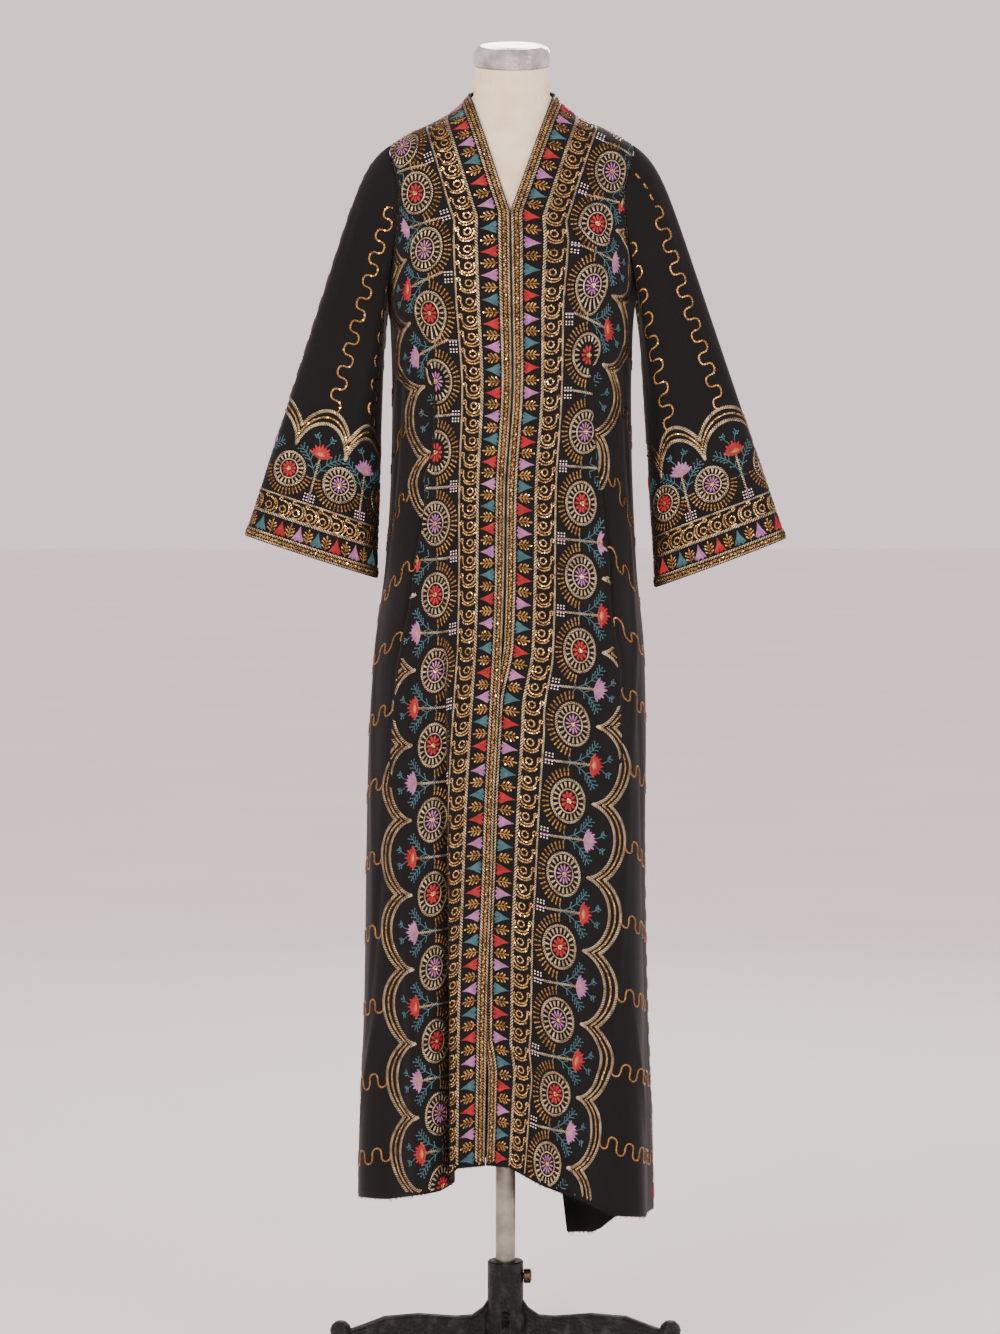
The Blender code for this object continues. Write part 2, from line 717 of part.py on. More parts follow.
def add_cap(finish):
    """The domed metal cap on the neck."""
    edge = CAP_RADIUS
    profile = [
        (0.0, 0.0268),
        (edge - 0.020, 0.0264),
        (edge - 0.009, 0.0252),
        (edge - 0.0028, 0.0222),
        (edge, 0.0175),
        (edge, 0.0012),
        (edge - 0.0012, 0.0),
        (0.0, 0.0),
    ]
    made = turned("neck_cap", profile, 36, finish)
    made.location = (lean(NECK_TOP), 0.0, NECK_TOP + RUNNING_GAP)
    made.rotation_euler = (NECK_TILT, 0.0, 0.0)


def leg_mesh(direction):
    """One leg of the casting: a web with a wider rounded rim along its top, lofted outwards."""
    half_web, half_rim, rim, round_off = 0.0050, 0.0068, 0.0050, 0.0012
    rings = []
    for out, top, under in LEG:
        ring = [
            (-half_web, under),
            (half_web, under),
            (half_web, top - rim),
            (half_rim, top - rim + round_off),
            (half_rim * 0.8, top - round_off),
            (0.0, top),
            (-half_rim * 0.8, top - round_off),
            (-half_rim, top - rim + round_off),
            (-half_web, top - rim),
        ]
        rings.append([(out, y, z) for y, z in ring])
    points = np.array(rings)
    cos, sin = math.cos(direction), math.sin(direction)
    turned_x = points[..., 0] * cos - points[..., 1] * sin
    turned_y = points[..., 0] * sin + points[..., 1] * cos
    mesh = grid_mesh("leg", np.stack([turned_x, turned_y, points[..., 2]], axis=-1), True)
    work = bmesh.new()
    work.from_mesh(mesh)
    bmesh.ops.holes_fill(work, edges=[e for e in work.edges if e.is_boundary], sides=0)
    bmesh.ops.recalc_face_normals(work, faces=work.faces)
    work.to_mesh(mesh)
    work.free()
    return mesh


def add_base(finish):
    """The cast base: a socketed hub with four webbed legs, each ending in a ball over a plain foot."""
    hub_profile = [
        (0.0, HUB_TOP),
        (HUB_RADIUS - 0.0015, HUB_TOP),
        (HUB_RADIUS, HUB_TOP - 0.0015),
        (HUB_RADIUS, 0.112),
        (HUB_RADIUS + 0.0012, 0.100),
        (HUB_RADIUS + 0.0045, 0.088),
        (HUB_RADIUS + 0.0045, 0.024),
        (HUB_RADIUS, 0.018),
        (0.0, 0.018),
    ]
    made = turned("cast_base", hub_profile, 24, finish)
    foot_profile = [
        (0.0, BALL_HEIGHT + BALL_RADIUS),
        *[
            (BALL_RADIUS * math.sin(t), BALL_HEIGHT + BALL_RADIUS * math.cos(t))
            for t in np.radians([28, 56, 84, 112, 136])
        ],
        (0.0090, 0.050),
        (0.0090, 0.012),
        (0.0160, 0.006),
        (0.0160, 0.0),
        (0.0, 0.0),
    ]
    for number in range(4):
        direction = number * math.pi / 2
        leg = bpy.data.objects.new("leg_tool_" + str(number), leg_mesh(direction))
        CUTTERS.objects.link(leg)
        combine(made, as_tool(leg), "UNION")
        foot = turned("foot_tool_" + str(number), foot_profile, 12, finish, CUTTERS)
        foot.location = (LEG_REACH * math.cos(direction), LEG_REACH * math.sin(direction), 0.0)
        combine(made, as_tool(foot), "UNION")
    socket = tool_cylinder(
        "pole_socket", POLE_RADIUS + RUNNING_GAP, (0, 0, SOCKET_FLOOR), (0, 0, HUB_TOP + 0.02)
    )
    combine(made, socket, "DIFFERENCE")
    tapped = tool_cylinder(
        "screw_hole", SCREW_SHANK + RUNNING_GAP, (0.002, 0, SCREW_HEIGHT), (0.05, 0, SCREW_HEIGHT), 20
    )
    combine(made, tapped, "DIFFERENCE")


def add_pole(finish):
    """The round steel pole, from the socket's floor into the torso."""
    low = SOCKET_FLOOR + RUNNING_GAP
    high = TORSO_BOTTOM + POLE_IN_TORSO - RUNNING_GAP
    bpy.ops.mesh.primitive_cylinder_add(
        vertices=32, radius=POLE_RADIUS, depth=high - low, location=(0, 0, (low + high) / 2)
    )
    made = bpy.context.active_object
    made.name = "pole"
    made.data.materials.append(finish)
    for held in list(made.users_collection):
        held.objects.unlink(made)
    PARTS.objects.link(made)


def add_set_screw(finish):
    """The screw that clamps the pole: a round shank in the hub's wall and a six-sided head."""
    start = POLE_RADIUS + RUNNING_GAP
    head = HUB_RADIUS + RUNNING_GAP
    profile = [
        (0.0, 0.0345),
        (0.0062, 0.0345),
        (0.0098, 0.0325),
        (0.0098, head + 0.0012),
        (0.0085, head),
        (SCREW_SHANK, head),
        (SCREW_SHANK, start),
        (0.0, start),
    ]
    made = turned("set_screw", profile, 18, finish)
    made.location = (0.0, 0.0, SCREW_HEIGHT)
    made.rotation_euler = (0.0, math.pi / 2, 0.0)


def centre_on_floor():
    """Moves the parts so that the middle of their outline, seen from above, is the origin."""
    bpy.context.view_layer.update()
    graph = bpy.context.evaluated_depsgraph_get()
    corners = []
    for part in PARTS.objects:
        shape = part.evaluated_get(graph)
        mesh = shape.to_mesh()
        points = np.empty(len(mesh.vertices) * 3, np.float32)
        mesh.vertices.foreach_get("co", points)
        turn = np.array(part.matrix_world)
        world = points.reshape(-1, 3) @ turn[:3, :3].T + turn[:3, 3]
        corners += [world.min(axis=0), world.max(axis=0)]
        shape.to_mesh_clear()
    low, high = np.min(corners, axis=0), np.max(corners, axis=0)
    middle = (low + high) / 2
    anchor = bpy.data.objects.new("floor_origin", None)
    PARTS.objects.link(anchor)
    anchor.location = (-middle[0], -middle[1], 0.0)
    for item in list(PARTS.objects) + list(CUTTERS.objects):
        if item != anchor:
            item.parent = anchor


def build():
    """Makes the whole part."""
    for old in list(bpy.data.objects):
        bpy.data.objects.remove(old, do_unlink=True)
    scene = bpy.context.scene.collection
    scene.children.link(PARTS)
    scene.children.link(CUTTERS)

    crepe = material("black_crepe", (0.012, 0.011, 0.012), 0.85)
    braid = material("metallic_braid", (0.56, 0.47, 0.33), 0.40, 0.6)
    cream = material("cream_form_cover", (0.80, 0.68, 0.50), 0.7)
    chrome = material("chrome", (0.75, 0.75, 0.75), 0.12, 1.0)
    steel = material("satin_steel", (0.42, 0.41, 0.36), 0.42, 1.0)
    iron = material("black_cast_iron", (0.025, 0.026, 0.028), 0.55, 0.4)
    brass = material("dark_brass", (0.12, 0.09, 0.055), 0.45, 0.9)

    for name, side in (("front_right", -1), ("front_left", 1)):
        points, normals = add_front(name, side, crepe)
        add_strip(name.replace("front", "front_braid"), points, normals, side < 0, braid)
    points, normals = add_back("back", crepe)
    neck = np.abs(np.linspace(-1, 1, COLUMNS_BACK + 1)) < NECK_SHARE_BACK + 1e-6
    strip = points[-3:, neck] + (BRAID_LIFT + BRAID_THICK) * normals[-3:, neck]
    thicken(add_object("back_neck_braid", grid_mesh("back_neck_braid", strip), braid), BRAID_THICK)
    add_sleeve("sleeve_right", -1, crepe, "cuff_braid_right", braid)
    add_sleeve("sleeve_left", 1, crepe, "cuff_braid_left", braid)
    add_torso(cream)
    add_cap(chrome)
    add_pole(steel)
    add_base(iron)
    add_set_screw(brass)
    centre_on_floor()


build()
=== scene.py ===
"""Looks of an abaya on a dress form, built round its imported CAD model.

The cloth panels are dense thin shells on the same body surface as the solids. Their embroidery is laid
out flat, as distance from a panel's edge and distance along it, and then carried onto the cloth.
Form coordinates have the pole's axis at x = 0, y = 0; SHIFT moves them to the frame's.
"""

import math

import bpy
import numpy as np
from bpy.props import FloatProperty, FloatVectorProperty, PointerProperty
from bpy.types import Operator, Panel, PropertyGroup
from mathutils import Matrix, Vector


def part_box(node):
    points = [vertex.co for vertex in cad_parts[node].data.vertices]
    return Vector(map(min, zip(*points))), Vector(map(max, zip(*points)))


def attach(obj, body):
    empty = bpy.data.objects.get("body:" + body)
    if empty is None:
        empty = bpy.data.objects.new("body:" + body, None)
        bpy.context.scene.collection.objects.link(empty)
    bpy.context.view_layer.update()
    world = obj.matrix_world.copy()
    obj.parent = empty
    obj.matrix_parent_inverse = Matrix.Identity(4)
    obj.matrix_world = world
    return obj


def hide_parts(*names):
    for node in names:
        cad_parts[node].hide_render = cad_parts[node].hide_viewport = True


bl_info = {
    "name": "Abaya on a dress form",
    "version": (1, 0, 0),
    "blender": (4, 5, 0),
    "location": "3D View > Sidebar > Abaya",
    "description": "Embroidered open robe with a V neck on a limbless form with a cast stand",
    "category": "Object",
}

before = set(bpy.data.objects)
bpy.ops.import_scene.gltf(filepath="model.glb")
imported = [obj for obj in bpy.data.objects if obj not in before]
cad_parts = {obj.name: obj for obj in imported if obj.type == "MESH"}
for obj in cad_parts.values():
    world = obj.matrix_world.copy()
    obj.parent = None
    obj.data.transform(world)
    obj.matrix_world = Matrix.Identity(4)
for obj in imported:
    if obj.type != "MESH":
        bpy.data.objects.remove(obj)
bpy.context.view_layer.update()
POLE_LOW, POLE_HIGH = (np.array(corner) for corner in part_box("pole"))
SHIFT = np.array([(POLE_LOW[0] + POLE_HIGH[0]) / 2, (POLE_LOW[1] + POLE_HIGH[1]) / 2, 0.0])

# Cloth and braid, in metres, as in the part's source
CLOTH = 0.0016
SEAM = 0.0007
ON_FORM = 0.0009
BRAID_WIDTH = 0.0135
BRAID_THICK = 0.0010
BRAID_LIFT = 0.0005
# Share of a tape's thickness at its edges, and how far in from the seams the neck's tape starts
TAPE_EDGE = 0.4
NECK_TAPE_INSET = 0.006
# The body: power of its sections, and heights where the robe is cut and where it rests on the form
SECTION_POWER = 2.25
HEM_SIDE = 0.235
UNDERARM = 1.435
SHOULDER_TIP = 1.618
NECK_SIDE = 1.684
V_BOTTOM = 1.5306
BACK_NECK_RISE = 0.011
RESTS_FROM = 1.47
RESTS_FULLY = 1.56
LEAN = 0.008
LEAN_FROM = 0.65
LEAN_TO = 1.20
ARMHOLE_SWEEP = math.radians(23)
# The right front's lap over the left one, which sinks under it
LAP_WIDTH = 0.012
LAP_SINK = 0.0042
LAP_TOP = 0.985
LAP_TOP_FADE = 0.085
LAP_BOTTOM = 0.430
LAP_BOTTOM_FADE = 0.075
SINK_LONGER = 0.13
SINK_WIDTH = 0.042
# The deep fold beside the opening
VALLEY_X = -0.083
VALLEY_DEPTH = 0.034
VALLEY_WIDTH = 0.0068
VALLEY_TOP = 1.06
VALLEY_FULL = 0.30
VALLEY_GROWTH = 0.8
# Sleeves: their head, their oval cuff, and the shares over which their folds fade in
SLEEVE_SEAM_OFF = 0.0010
SLEEVE_HEAD = 0.024
HEAD_RISE = 0.055
CUFF_HALF_DEPTH = 0.034
CUFF_Y = -0.010
CUFF_POWER = 0.8
SLEEVE_TWIST = 14
SLEEVE_FADES = (0.1, 0.05)

# Level sections of the torso form and of the robe hung on it
FORM_COLUMNS = ("z", "half_width", "front", "back")
FORM = (
    (0.95, 0.15, 0.11, 0.116), (1.02, 0.154, 0.114, 0.122), (1.08, 0.15, 0.112, 0.116),
    (1.16, 0.133, 0.104, 0.1), (1.24, 0.122, 0.1, 0.088), (1.3, 0.128, 0.108, 0.09),
    (1.38, 0.142, 0.126, 0.098), (1.44, 0.152, 0.131, 0.103), (1.5, 0.159, 0.118, 0.106),
    (1.55, 0.164, 0.103, 0.104), (1.59, 0.164, 0.092, 0.096), (1.612, 0.159, 0.084, 0.09),
    (1.63, 0.135, 0.076, 0.082), (1.65, 0.093, 0.068, 0.073), (1.665, 0.07, 0.062, 0.066),
    (1.684, 0.0525, 0.056, 0.057), (1.7, 0.05, 0.052, 0.053), (1.7225, 0.0488, 0.0495, 0.0495),
)
ROBE = (
    (0.13, 0.196, 0.152, 0.15), (0.274, 0.193, 0.15, 0.147), (0.378, 0.19, 0.149, 0.145),
    (0.508, 0.185, 0.147, 0.142), (0.703, 0.182, 0.145, 0.138), (0.833, 0.181, 0.143, 0.135),
    (0.963, 0.176, 0.141, 0.131), (1.08, 0.163, 0.139, 0.127), (1.22, 0.156, 0.1375, 0.118),
    (1.3, 0.155, 0.137, 0.113), (1.38, 0.157, 0.1365, 0.11), (1.44, 0.162, 0.1345, 0.109),
    (1.5, 0.164, 0.1215, 0.109),
)
# Where the fronts meet, down the centre
EDGE_COLUMNS = ("z", "x")
EDGE = (
    (0.3, -0.026), (0.37, -0.0248), (0.53, -0.0222), (0.693, -0.016), (0.783, -0.0133),
    (0.91, -0.007), (1.065, -0.001), (1.176, 0.0006), (1.322, 0.0088), (1.44, 0.007),
    (1.529, 0.0057),
)
# The hem all round: 0 degrees is the front, 90 the wearer's left
HEM_COLUMNS = ("angle", "z")
HEM = (
    (-90, 0.254), (-58, 0.262), (-44, 0.272), (-33, 0.279), (-27, 0.3), (-23, 0.311), (-9, 0.3155),
    (2, 0.313), (17, 0.29), (36, 0.268), (52, 0.243), (70, 0.234), (90, 0.232), (110, 0.222),
    (122, 0.205), (131, 0.184), (137, 0.175), (150.2, 0.171), (153.0, 0.255), (165, 0.27),
    (200, 0.272), (235, 0.262), (270, 0.254),
)
# Folds of the skirt: angle at the hem, depth, width in degrees, height of the top, degrees drifted there
FOLDS = (
    (-38, 0.006, 7, 0.95, 4), (-55, -0.005, 8, 1.0, 6), (-72, 0.0055, 8, 0.9, 4),
    (30, 0.0035, 10, 1.0, -4), (47, -0.005, 9, 1.1, -6), (63, 0.006, 9, 0.95, 2),
    (80, -0.0055, 8, 0.85, 4), (104, 0.0065, 9, 1.0, -5), (126, -0.007, 10, 1.15, 4),
    (146, 0.008, 9, 1.05, 6), (168, -0.0065, 9, 0.95, -3), (188, 0.008, 10, 1.2, 2),
    (209, -0.007, 9, 1.0, -4), (229, 0.007, 9, 1.1, 5), (250, -0.006, 8, 0.95, -4),
)
# Cuffs by side: x and z of the outer edge, x and z of the inner edge
CUFFS = (
    (-1, -0.3374, 1.1165, -0.167, 1.061), (1, 0.3634, 1.1125, 0.1944, 1.049),
)
# Folds of a sleeve: turn, depth, width in degrees, middle and reach as shares of its length
SLEEVE_FOLDS = (
    (60, -0.004, 18, 0.35, 0.25), (105, 0.0035, 18, 0.6, 0.3), (250, -0.004, 20, 0.45, 0.3),
    (300, 0.0035, 18, 0.65, 0.25),
)
# Finer creases of a sleeve, in the same columns
SLEEVE_CREASES = (
    (32, -0.0014, 7, 0.22, 0.12), (48, 0.0013, 8, 0.4, 0.16), (82, 0.0016, 8, 0.3, 0.14),
    (96, -0.0015, 7, 0.52, 0.17), (124, 0.0016, 8, 0.42, 0.2), (146, -0.0018, 8, 0.3, 0.14),
    (208, 0.0016, 9, 0.5, 0.18), (232, 0.0014, 8, 0.28, 0.13), (276, -0.0016, 8, 0.36, 0.16),
    (322, 0.0015, 9, 0.48, 0.18),
)

# How finely the shells are divided
FRONT_COLUMNS = 130
BACK_COLUMNS = 160
SKIRT_ROWS = 110
ARMHOLE_ROWS = 36
SLEEVE_COLUMNS = 132
SLEEVE_ROWS = 80
NECK_SHARE_BACK = 5 / 12
TAPE_COLUMNS = 7
FRONT_TAPE_ROWS = 500
CUFF_TAPE_ROWS = 160
NECK_TAPE_ROWS = 120
# The wearer's sides, by the sign of x
SIDES = ((1, "left"), (-1, "right"))

# Grids that hold the surfaces and flat layouts: steps and ends in degrees or metres
TABLE_POINTS = 3001
ANGLE_STEP = 0.3
HEIGHT_STEP = 0.003
GRID_LOW = 0.14
GRID_HIGH = 1.7155
TURN_FIRST = -66.0
TURN_LAST = 426.0
TURN_STEP = 1.5
LAYOUT_OUT = 0.003
LAYOUT_ALONG = 0.004
FRONT_REACH = 0.400
SLEEVE_REACH = 0.56
SLEEVE_OVERLAP = 0.08
BACK_REACH = 1.30
BACK_FROM = 84
BACK_TO = 276

# The photo's camera, in form coordinates, and the stage
CAMERA_PLACE = (-0.00715, -5.5, 1.30)
CAMERA_TILT = math.radians(-3.7)
CAMERA_LENS = 114.15
FLOOR_HALF = 30.0
WAIST = (0.0, 0.0, 1.0)
# Lights: name, place, size, share of the key light's power, tint
LIGHTS = (
    ("key", (-1.7, -3.2, 2.9), 1.4, 1.0, "#fff6ea"),
    ("fill", (2.6, -2.6, 1.8), 2.0, 0.45, "#eef3ff"),
    ("back_rim", (0.6, 3.2, 2.8), 1.6, 0.5, "#ffffff"),
    ("glint_left", (-0.9, -4.6, 1.9), 0.14, 0.26, "#fff2d8"),
    ("glint_right", (0.8, -4.8, 1.4), 0.12, 0.34, "#fff2d8"),
)

# The border's bands: distances from the cloth's edge, as read off the photo
TRIANGLE_FOOT = 0.0145
TRIANGLE_TIP = 0.0345
TRIANGLE_HALF = 0.0073
CORD_AT = 0.0385
SCROLL_AT = 0.0515
SCROLLS = 4
SCROLL_SHIFT = (-0.0028, -0.0020)
THIN_CORD_AT = 0.0645
MEDALLION_AT = 0.101
MEDALLION_WIDE = 0.0230
MEDALLION_RADIUS = 0.0287
BEADS_AT = 0.068
STEM_FROM = 0.081
CUFF_SCALE = 0.80
FLOWER_AT = 0.1255
SCALLOP_TIP = 0.136
SCALLOP_BULGE = 0.171
SCALLOP_OUTER = SCALLOP_BULGE + 0.0170
# The scallops' lines: thread, tip, bulge and roundness
SCALLOP_LINES = (
    ("silver", SCALLOP_TIP, SCALLOP_BULGE, 1.037),
    ("gold", SCALLOP_TIP + 0.0125, SCALLOP_BULGE + 0.0085, 1.15),
    ("silver", SCALLOP_TIP + 0.0240, SCALLOP_OUTER, 1.32),
)
# Height of the braid's tape, and how far round the neck the fronts' border goes on the back
TAPE_TOP = 0.0015
BACK_BORDER_TO = 0.12
# How far the stitches stay off the seams, the raw hem, the back's side seams and its shoulders
SEAM_MARGIN = 0.006
HEM_MARGIN = 0.002
SIDE_MARGIN = 0.012
TOP_MARGIN = 0.02

# Where the medallions lie along each front's edge, from the centre of the back round the neck to the hem
MEDALLION_COLUMNS = ("right", "left")
MEDALLIONS = (
    (-0.088, -0.088), (-0.046, -0.036), (-0.004, 0.026), (0.068, 0.112), (0.148, 0.2),
    (0.25, 0.31), (0.345, 0.4), (0.432, 0.496), (0.52, 0.58), (0.604, 0.668), (0.692, 0.759),
    (0.786, 0.852), (0.879, 0.948), (0.972, 1.04), (1.065, 1.132), (1.158, 1.224), (1.251, 1.318),
    (1.344, 1.41), (1.437, 1.502),
)
# Where they lie round each cuff, from before its outer edge, over the front and back round
CUFF_MEDALLIONS = (
    (-0.046, 0.0), (0.044, 0.088), (0.12, 0.17), (0.203, 0.254), (0.286, 0.337), (0.368, 0.42),
)
# The back border's foot: a smooth line near the hem
BACK_BASE_COLUMNS = ("angle", "z")
BACK_BASE = (
    (84, 0.232), (110, 0.221), (124, 0.202), (137, 0.178), (150, 0.176), (166, 0.202),
    (186, 0.242), (206, 0.262), (235, 0.262), (276, 0.254),
)
BACK_MEDALLIONS = 7
BACK_LINES_TO = (0.98, 1.06, 1.11, 1.13, 1.09, 1.05, 0.96)
# How the fronts' winding lines slope, by k
LINES_FALL = ((3, 5, 8, 12), (0.6, 0.75, 0.45, 0.15))
FRAYS_PER_RADIAN = 150

# How wide the pattern lies on each front: at the fold and near the hem the cloth draws it together
ACROSS_COLUMNS = ("z", "right", "left")
ACROSS = (
    (0.32, 1.0, 0.8), (0.41, 1.0, 0.87), (0.5, 1.0, 1.0), (0.69, 1.0, 1.03), (0.88, 0.95, 1.08),
    (0.98, 0.9, 1.0), (1.2, 0.94, 0.98), (1.32, 1.0, 0.98), (1.41, 1.09, 1.02), (1.5, 1.13, 1.15),
    (1.58, 1.09, 1.08), (1.65, 1.05, 1.05),
)
# Tucks at the waist, by side: where the pattern is cut, how much is hidden, and the angle there
TUCK_COLUMNS = ("z", "cut", "hidden", "angle")
TUCKS = {
    1: (
        (0.86, 0.172, 0.0, 57.5), (0.9, 0.172, 0.012, 57.5), (0.955, 0.168, 0.018, 57.5),
        (1.016, 0.15, 0.045, 52.6), (1.087, 0.147, 0.055, 52.4), (1.13, 0.14, 0.055, 50.1),
        (1.16, 0.135, 0.053, 48.7), (1.187, 0.129, 0.044, 46.9), (1.22, 0.125, 0.038, 45.7),
        (1.265, 0.115, 0.024, 43.5), (1.317, 0.109, 0.015, 42.6), (1.365, 0.106, 0.0, 42.7),
    ),
    -1: (
        (0.82, 0.172, 0.0, -59.3), (0.86, 0.172, 0.01, -59.1), (0.95, 0.17, 0.017, -57.9),
        (1.02, 0.15, 0.045, -53.2), (1.09, 0.138, 0.052, -51.3), (1.12, 0.127, 0.05, -48.3),
        (1.16, 0.12, 0.042, -46.8), (1.196, 0.12, 0.032, -46.9), (1.236, 0.106, 0.03, -41.8),
        (1.286, 0.104, 0.024, -41.2), (1.312, 0.107, 0.012, -41.8), (1.338, 0.115, 0.0, -44.0),
    ),
}
# A tuck's ridge and trough: depth, the most that is hidden, degrees from the cut, and trough to ridge
TUCK_DEPTH = 0.0026
TUCK_HIDES = 0.055
TUCK_RIDGE = 1.1
TUCK_TROUGH = 1.0
TUCK_TROUGH_SHARE = 1.3
# Beside the armhole the outer bands are drawn together, from this distance and above this height
SQUEEZE_FROM = 0.117
SQUEEZE = 0.70
SQUEEZE_ABOVE = 1.42
SQUEEZE_FULLY = 1.50
# How far the outer bands slope along the edge, by the distance t down it
SLOPES = (
    (0.0, -0.3), (0.12, -0.3), (0.18, -0.22), (0.27, 0.3), (0.39, 0.42), (0.46, 0.1), (0.56, 0.0),
    (0.8, -0.08), (1.45, -0.12),
)
# Below the first height the pattern follows the cloth's crosswise rows, above the second straight lines
ROWS_BELOW = 1.12
ROWS_FULLY_ABOVE = 1.30
# Lengths over which the pattern turns the corners of the V and of the neck, and changes between them
FRONT_TURN = 0.048
NECK_TURN = 0.010
TURNS_FROM = -0.02
TURNS_OVER = 0.05

# Creases: middle angle, height, half length, width in degrees, depth, slant in degrees
CREASES = (
    (-64, 1.36, 0.1, 3.0, 0.0016, 12), (-70, 1.22, 0.16, 2.6, -0.0018, 8),
    (-76, 0.86, 0.2, 3.2, 0.0022, -6), (-66, 0.62, 0.14, 2.4, -0.002, 5),
    (-47, 0.5, 0.16, 2.6, 0.002, -4), (-72, 0.42, 0.1, 2.2, 0.002, 9),
    (66, 1.38, 0.09, 3.0, 0.0016, -13), (72, 1.2, 0.15, 2.6, -0.0018, -7),
    (68, 0.94, 0.18, 2.8, 0.002, 6), (78, 0.7, 0.2, 3.0, -0.0022, -8),
    (55, 0.55, 0.13, 2.4, 0.0018, 5), (70, 0.4, 0.1, 2.4, 0.0022, -7),
    (106, 1.34, 0.12, 3.0, 0.0018, 10), (118, 1.12, 0.17, 3.2, -0.0022, -7),
    (139, 0.9, 0.2, 2.8, 0.0024, 5), (158, 1.22, 0.13, 3.4, -0.0018, -9),
    (170, 0.62, 0.19, 3.0, 0.0024, 6), (196, 1.1, 0.18, 3.0, 0.002, -5),
    (214, 0.74, 0.21, 3.2, -0.0024, 7), (232, 1.26, 0.12, 3.0, 0.0018, -10),
    (246, 0.92, 0.17, 2.8, -0.002, 6), (258, 0.52, 0.14, 2.6, 0.0022, -7),
)


def smooth(t):
    """A step from 0 to 1 that starts and ends level."""
    t = np.clip(t, 0.0, 1.0)
    return t * t * (3 - 2 * t)


def bell(x):
    """A bell curve: 1 at 0, falling alike to both sides."""
    return np.exp(-(x**2))


def turn_from(angle, at):
    """How far an angle is turned from another, between half a turn back and half a turn on."""
    return (angle - at + math.pi) % (2 * math.pi) - math.pi


def column(rows, columns, name):
    """One named column of a table, as an array."""
    return np.array([row[columns.index(name)] for row in rows], float)


def read_table(x, rows, columns, name):
    """A named column of a table read at x, its first column, straight between its rows."""
    return np.interp(x, column(rows, columns, columns[0]), column(rows, columns, name))


def resampled(want, length, *grids):
    """Grids read again down each of their columns, at the wanted distances run along it."""
    out = []
    for grid in grids:
        lines = [np.interp(want, run, line) for run, line in zip(length.T, grid.T)]
        out.append(np.stack(lines, axis=1))
    return out


def curve_through(xs, ys, x):
    """A cubic through the points of a table that never overshoots them."""
    step = np.diff(xs)
    slope = np.diff(ys) / step
    flat = slope[:-1] * slope[1:] <= 0
    mean = 2 * slope[:-1] * slope[1:] / np.where(flat, 1.0, slope[:-1] + slope[1:])
    tangent = np.concatenate([[slope[0]], np.where(flat, 0.0, mean), [slope[-1]]])
    i = np.clip(np.searchsorted(xs, x) - 1, 0, len(step) - 1)
    h = step[i]
    t = np.clip((x - xs[i]) / h, 0.0, 1.0)
    return (
        ys[i] * (1 + 2 * t) * (1 - t) ** 2
        + h * tangent[i] * t * (1 - t) ** 2
        + ys[i + 1] * t * t * (3 - 2 * t)
        + h * tangent[i + 1] * t * t * (t - 1)
    )


def dense(rows, columns, name):
    """A table's curve on even steps, which np.interp then reads fast."""
    xs = column(rows, columns, "z")
    x = np.linspace(xs[0], xs[-1], TABLE_POINTS)
    return x, curve_through(xs, column(rows, columns, name), x)


FORM_SIZE = {name: dense(FORM, FORM_COLUMNS, name) for name in FORM_COLUMNS[1:]}
ROBE_SIZE = {name: dense(ROBE, FORM_COLUMNS, name) for name in FORM_COLUMNS[1:]}
EDGE_X = dense(EDGE, EDGE_COLUMNS, "x")


def lean(z):
    """How far the middle of a level section lies towards +X."""
    return LEAN * smooth((z - LEAN_FROM) / (LEAN_TO - LEAN_FROM))


def form_size(name, z):
    """Half width or depth of the torso form at a height."""
    return np.interp(z, *FORM_SIZE[name])


def on_shoulders(z):
    """1 where the robe lies on the form, 0 where it hangs free."""
    return smooth((z - RESTS_FROM) / (RESTS_FULLY - RESTS_FROM))


def robe_size(name, z):
    """Half width or depth of the robe: its own table below, the form's own at the shoulders."""
    weight = on_shoulders(z)
    return np.interp(z, *ROBE_SIZE[name]) * (1 - weight) + form_size(name, z) * weight


def section_reach(angle, half_width, depth):
    """Distance from a section's middle to its superelliptic outline in the direction of an angle."""
    across = (np.abs(np.sin(angle)) / half_width) ** SECTION_POWER
    along = (np.abs(np.cos(angle)) / depth) ** SECTION_POWER
    return (across + along) ** (-1 / SECTION_POWER)


def robe_reach(angle, z):
    """Distance of the robe's surface from its section's middle, with no folds."""
    depth = np.where(np.cos(angle) > 0, robe_size("front", z), robe_size("back", z))
    return section_reach(angle, robe_size("half_width", z), depth)


def angle_at(x, z):
    """Angle at which the front of the robe has that distance from the section's middle."""
    half_width = robe_size("half_width", z)
    share = np.clip(np.abs(x) / half_width, 0.0, 1.0)
    y = robe_size("front", z) * (1 - share**SECTION_POWER) ** (1 / SECTION_POWER)
    return np.arctan2(np.clip(x, -half_width, half_width), y)


def fold_offset(angle, z):
    """How far the folds and the deep valley beside the opening push the robe's surface outwards.

    A fold is a bell curve across that grows from nothing at its top to full depth at the hem.
    """
    out = np.zeros(np.broadcast(angle, z).shape)
    for middle, depth, width, top, drift in FOLDS:
        grown = smooth((top - z) / (top - HEM_SIDE))
        away = turn_from(angle, np.radians(middle + drift * (1 - grown)))
        out = out + depth * grown * bell(away / math.radians(width))
    share = np.clip((VALLEY_TOP - z) / (VALLEY_TOP - VALLEY_FULL), 0.0, 1.0)
    across = (angle - angle_at(VALLEY_X - lean(z), z)) * robe_reach(angle, z)
    return out - VALLEY_DEPTH * share**VALLEY_GROWTH * bell(across / VALLEY_WIDTH)


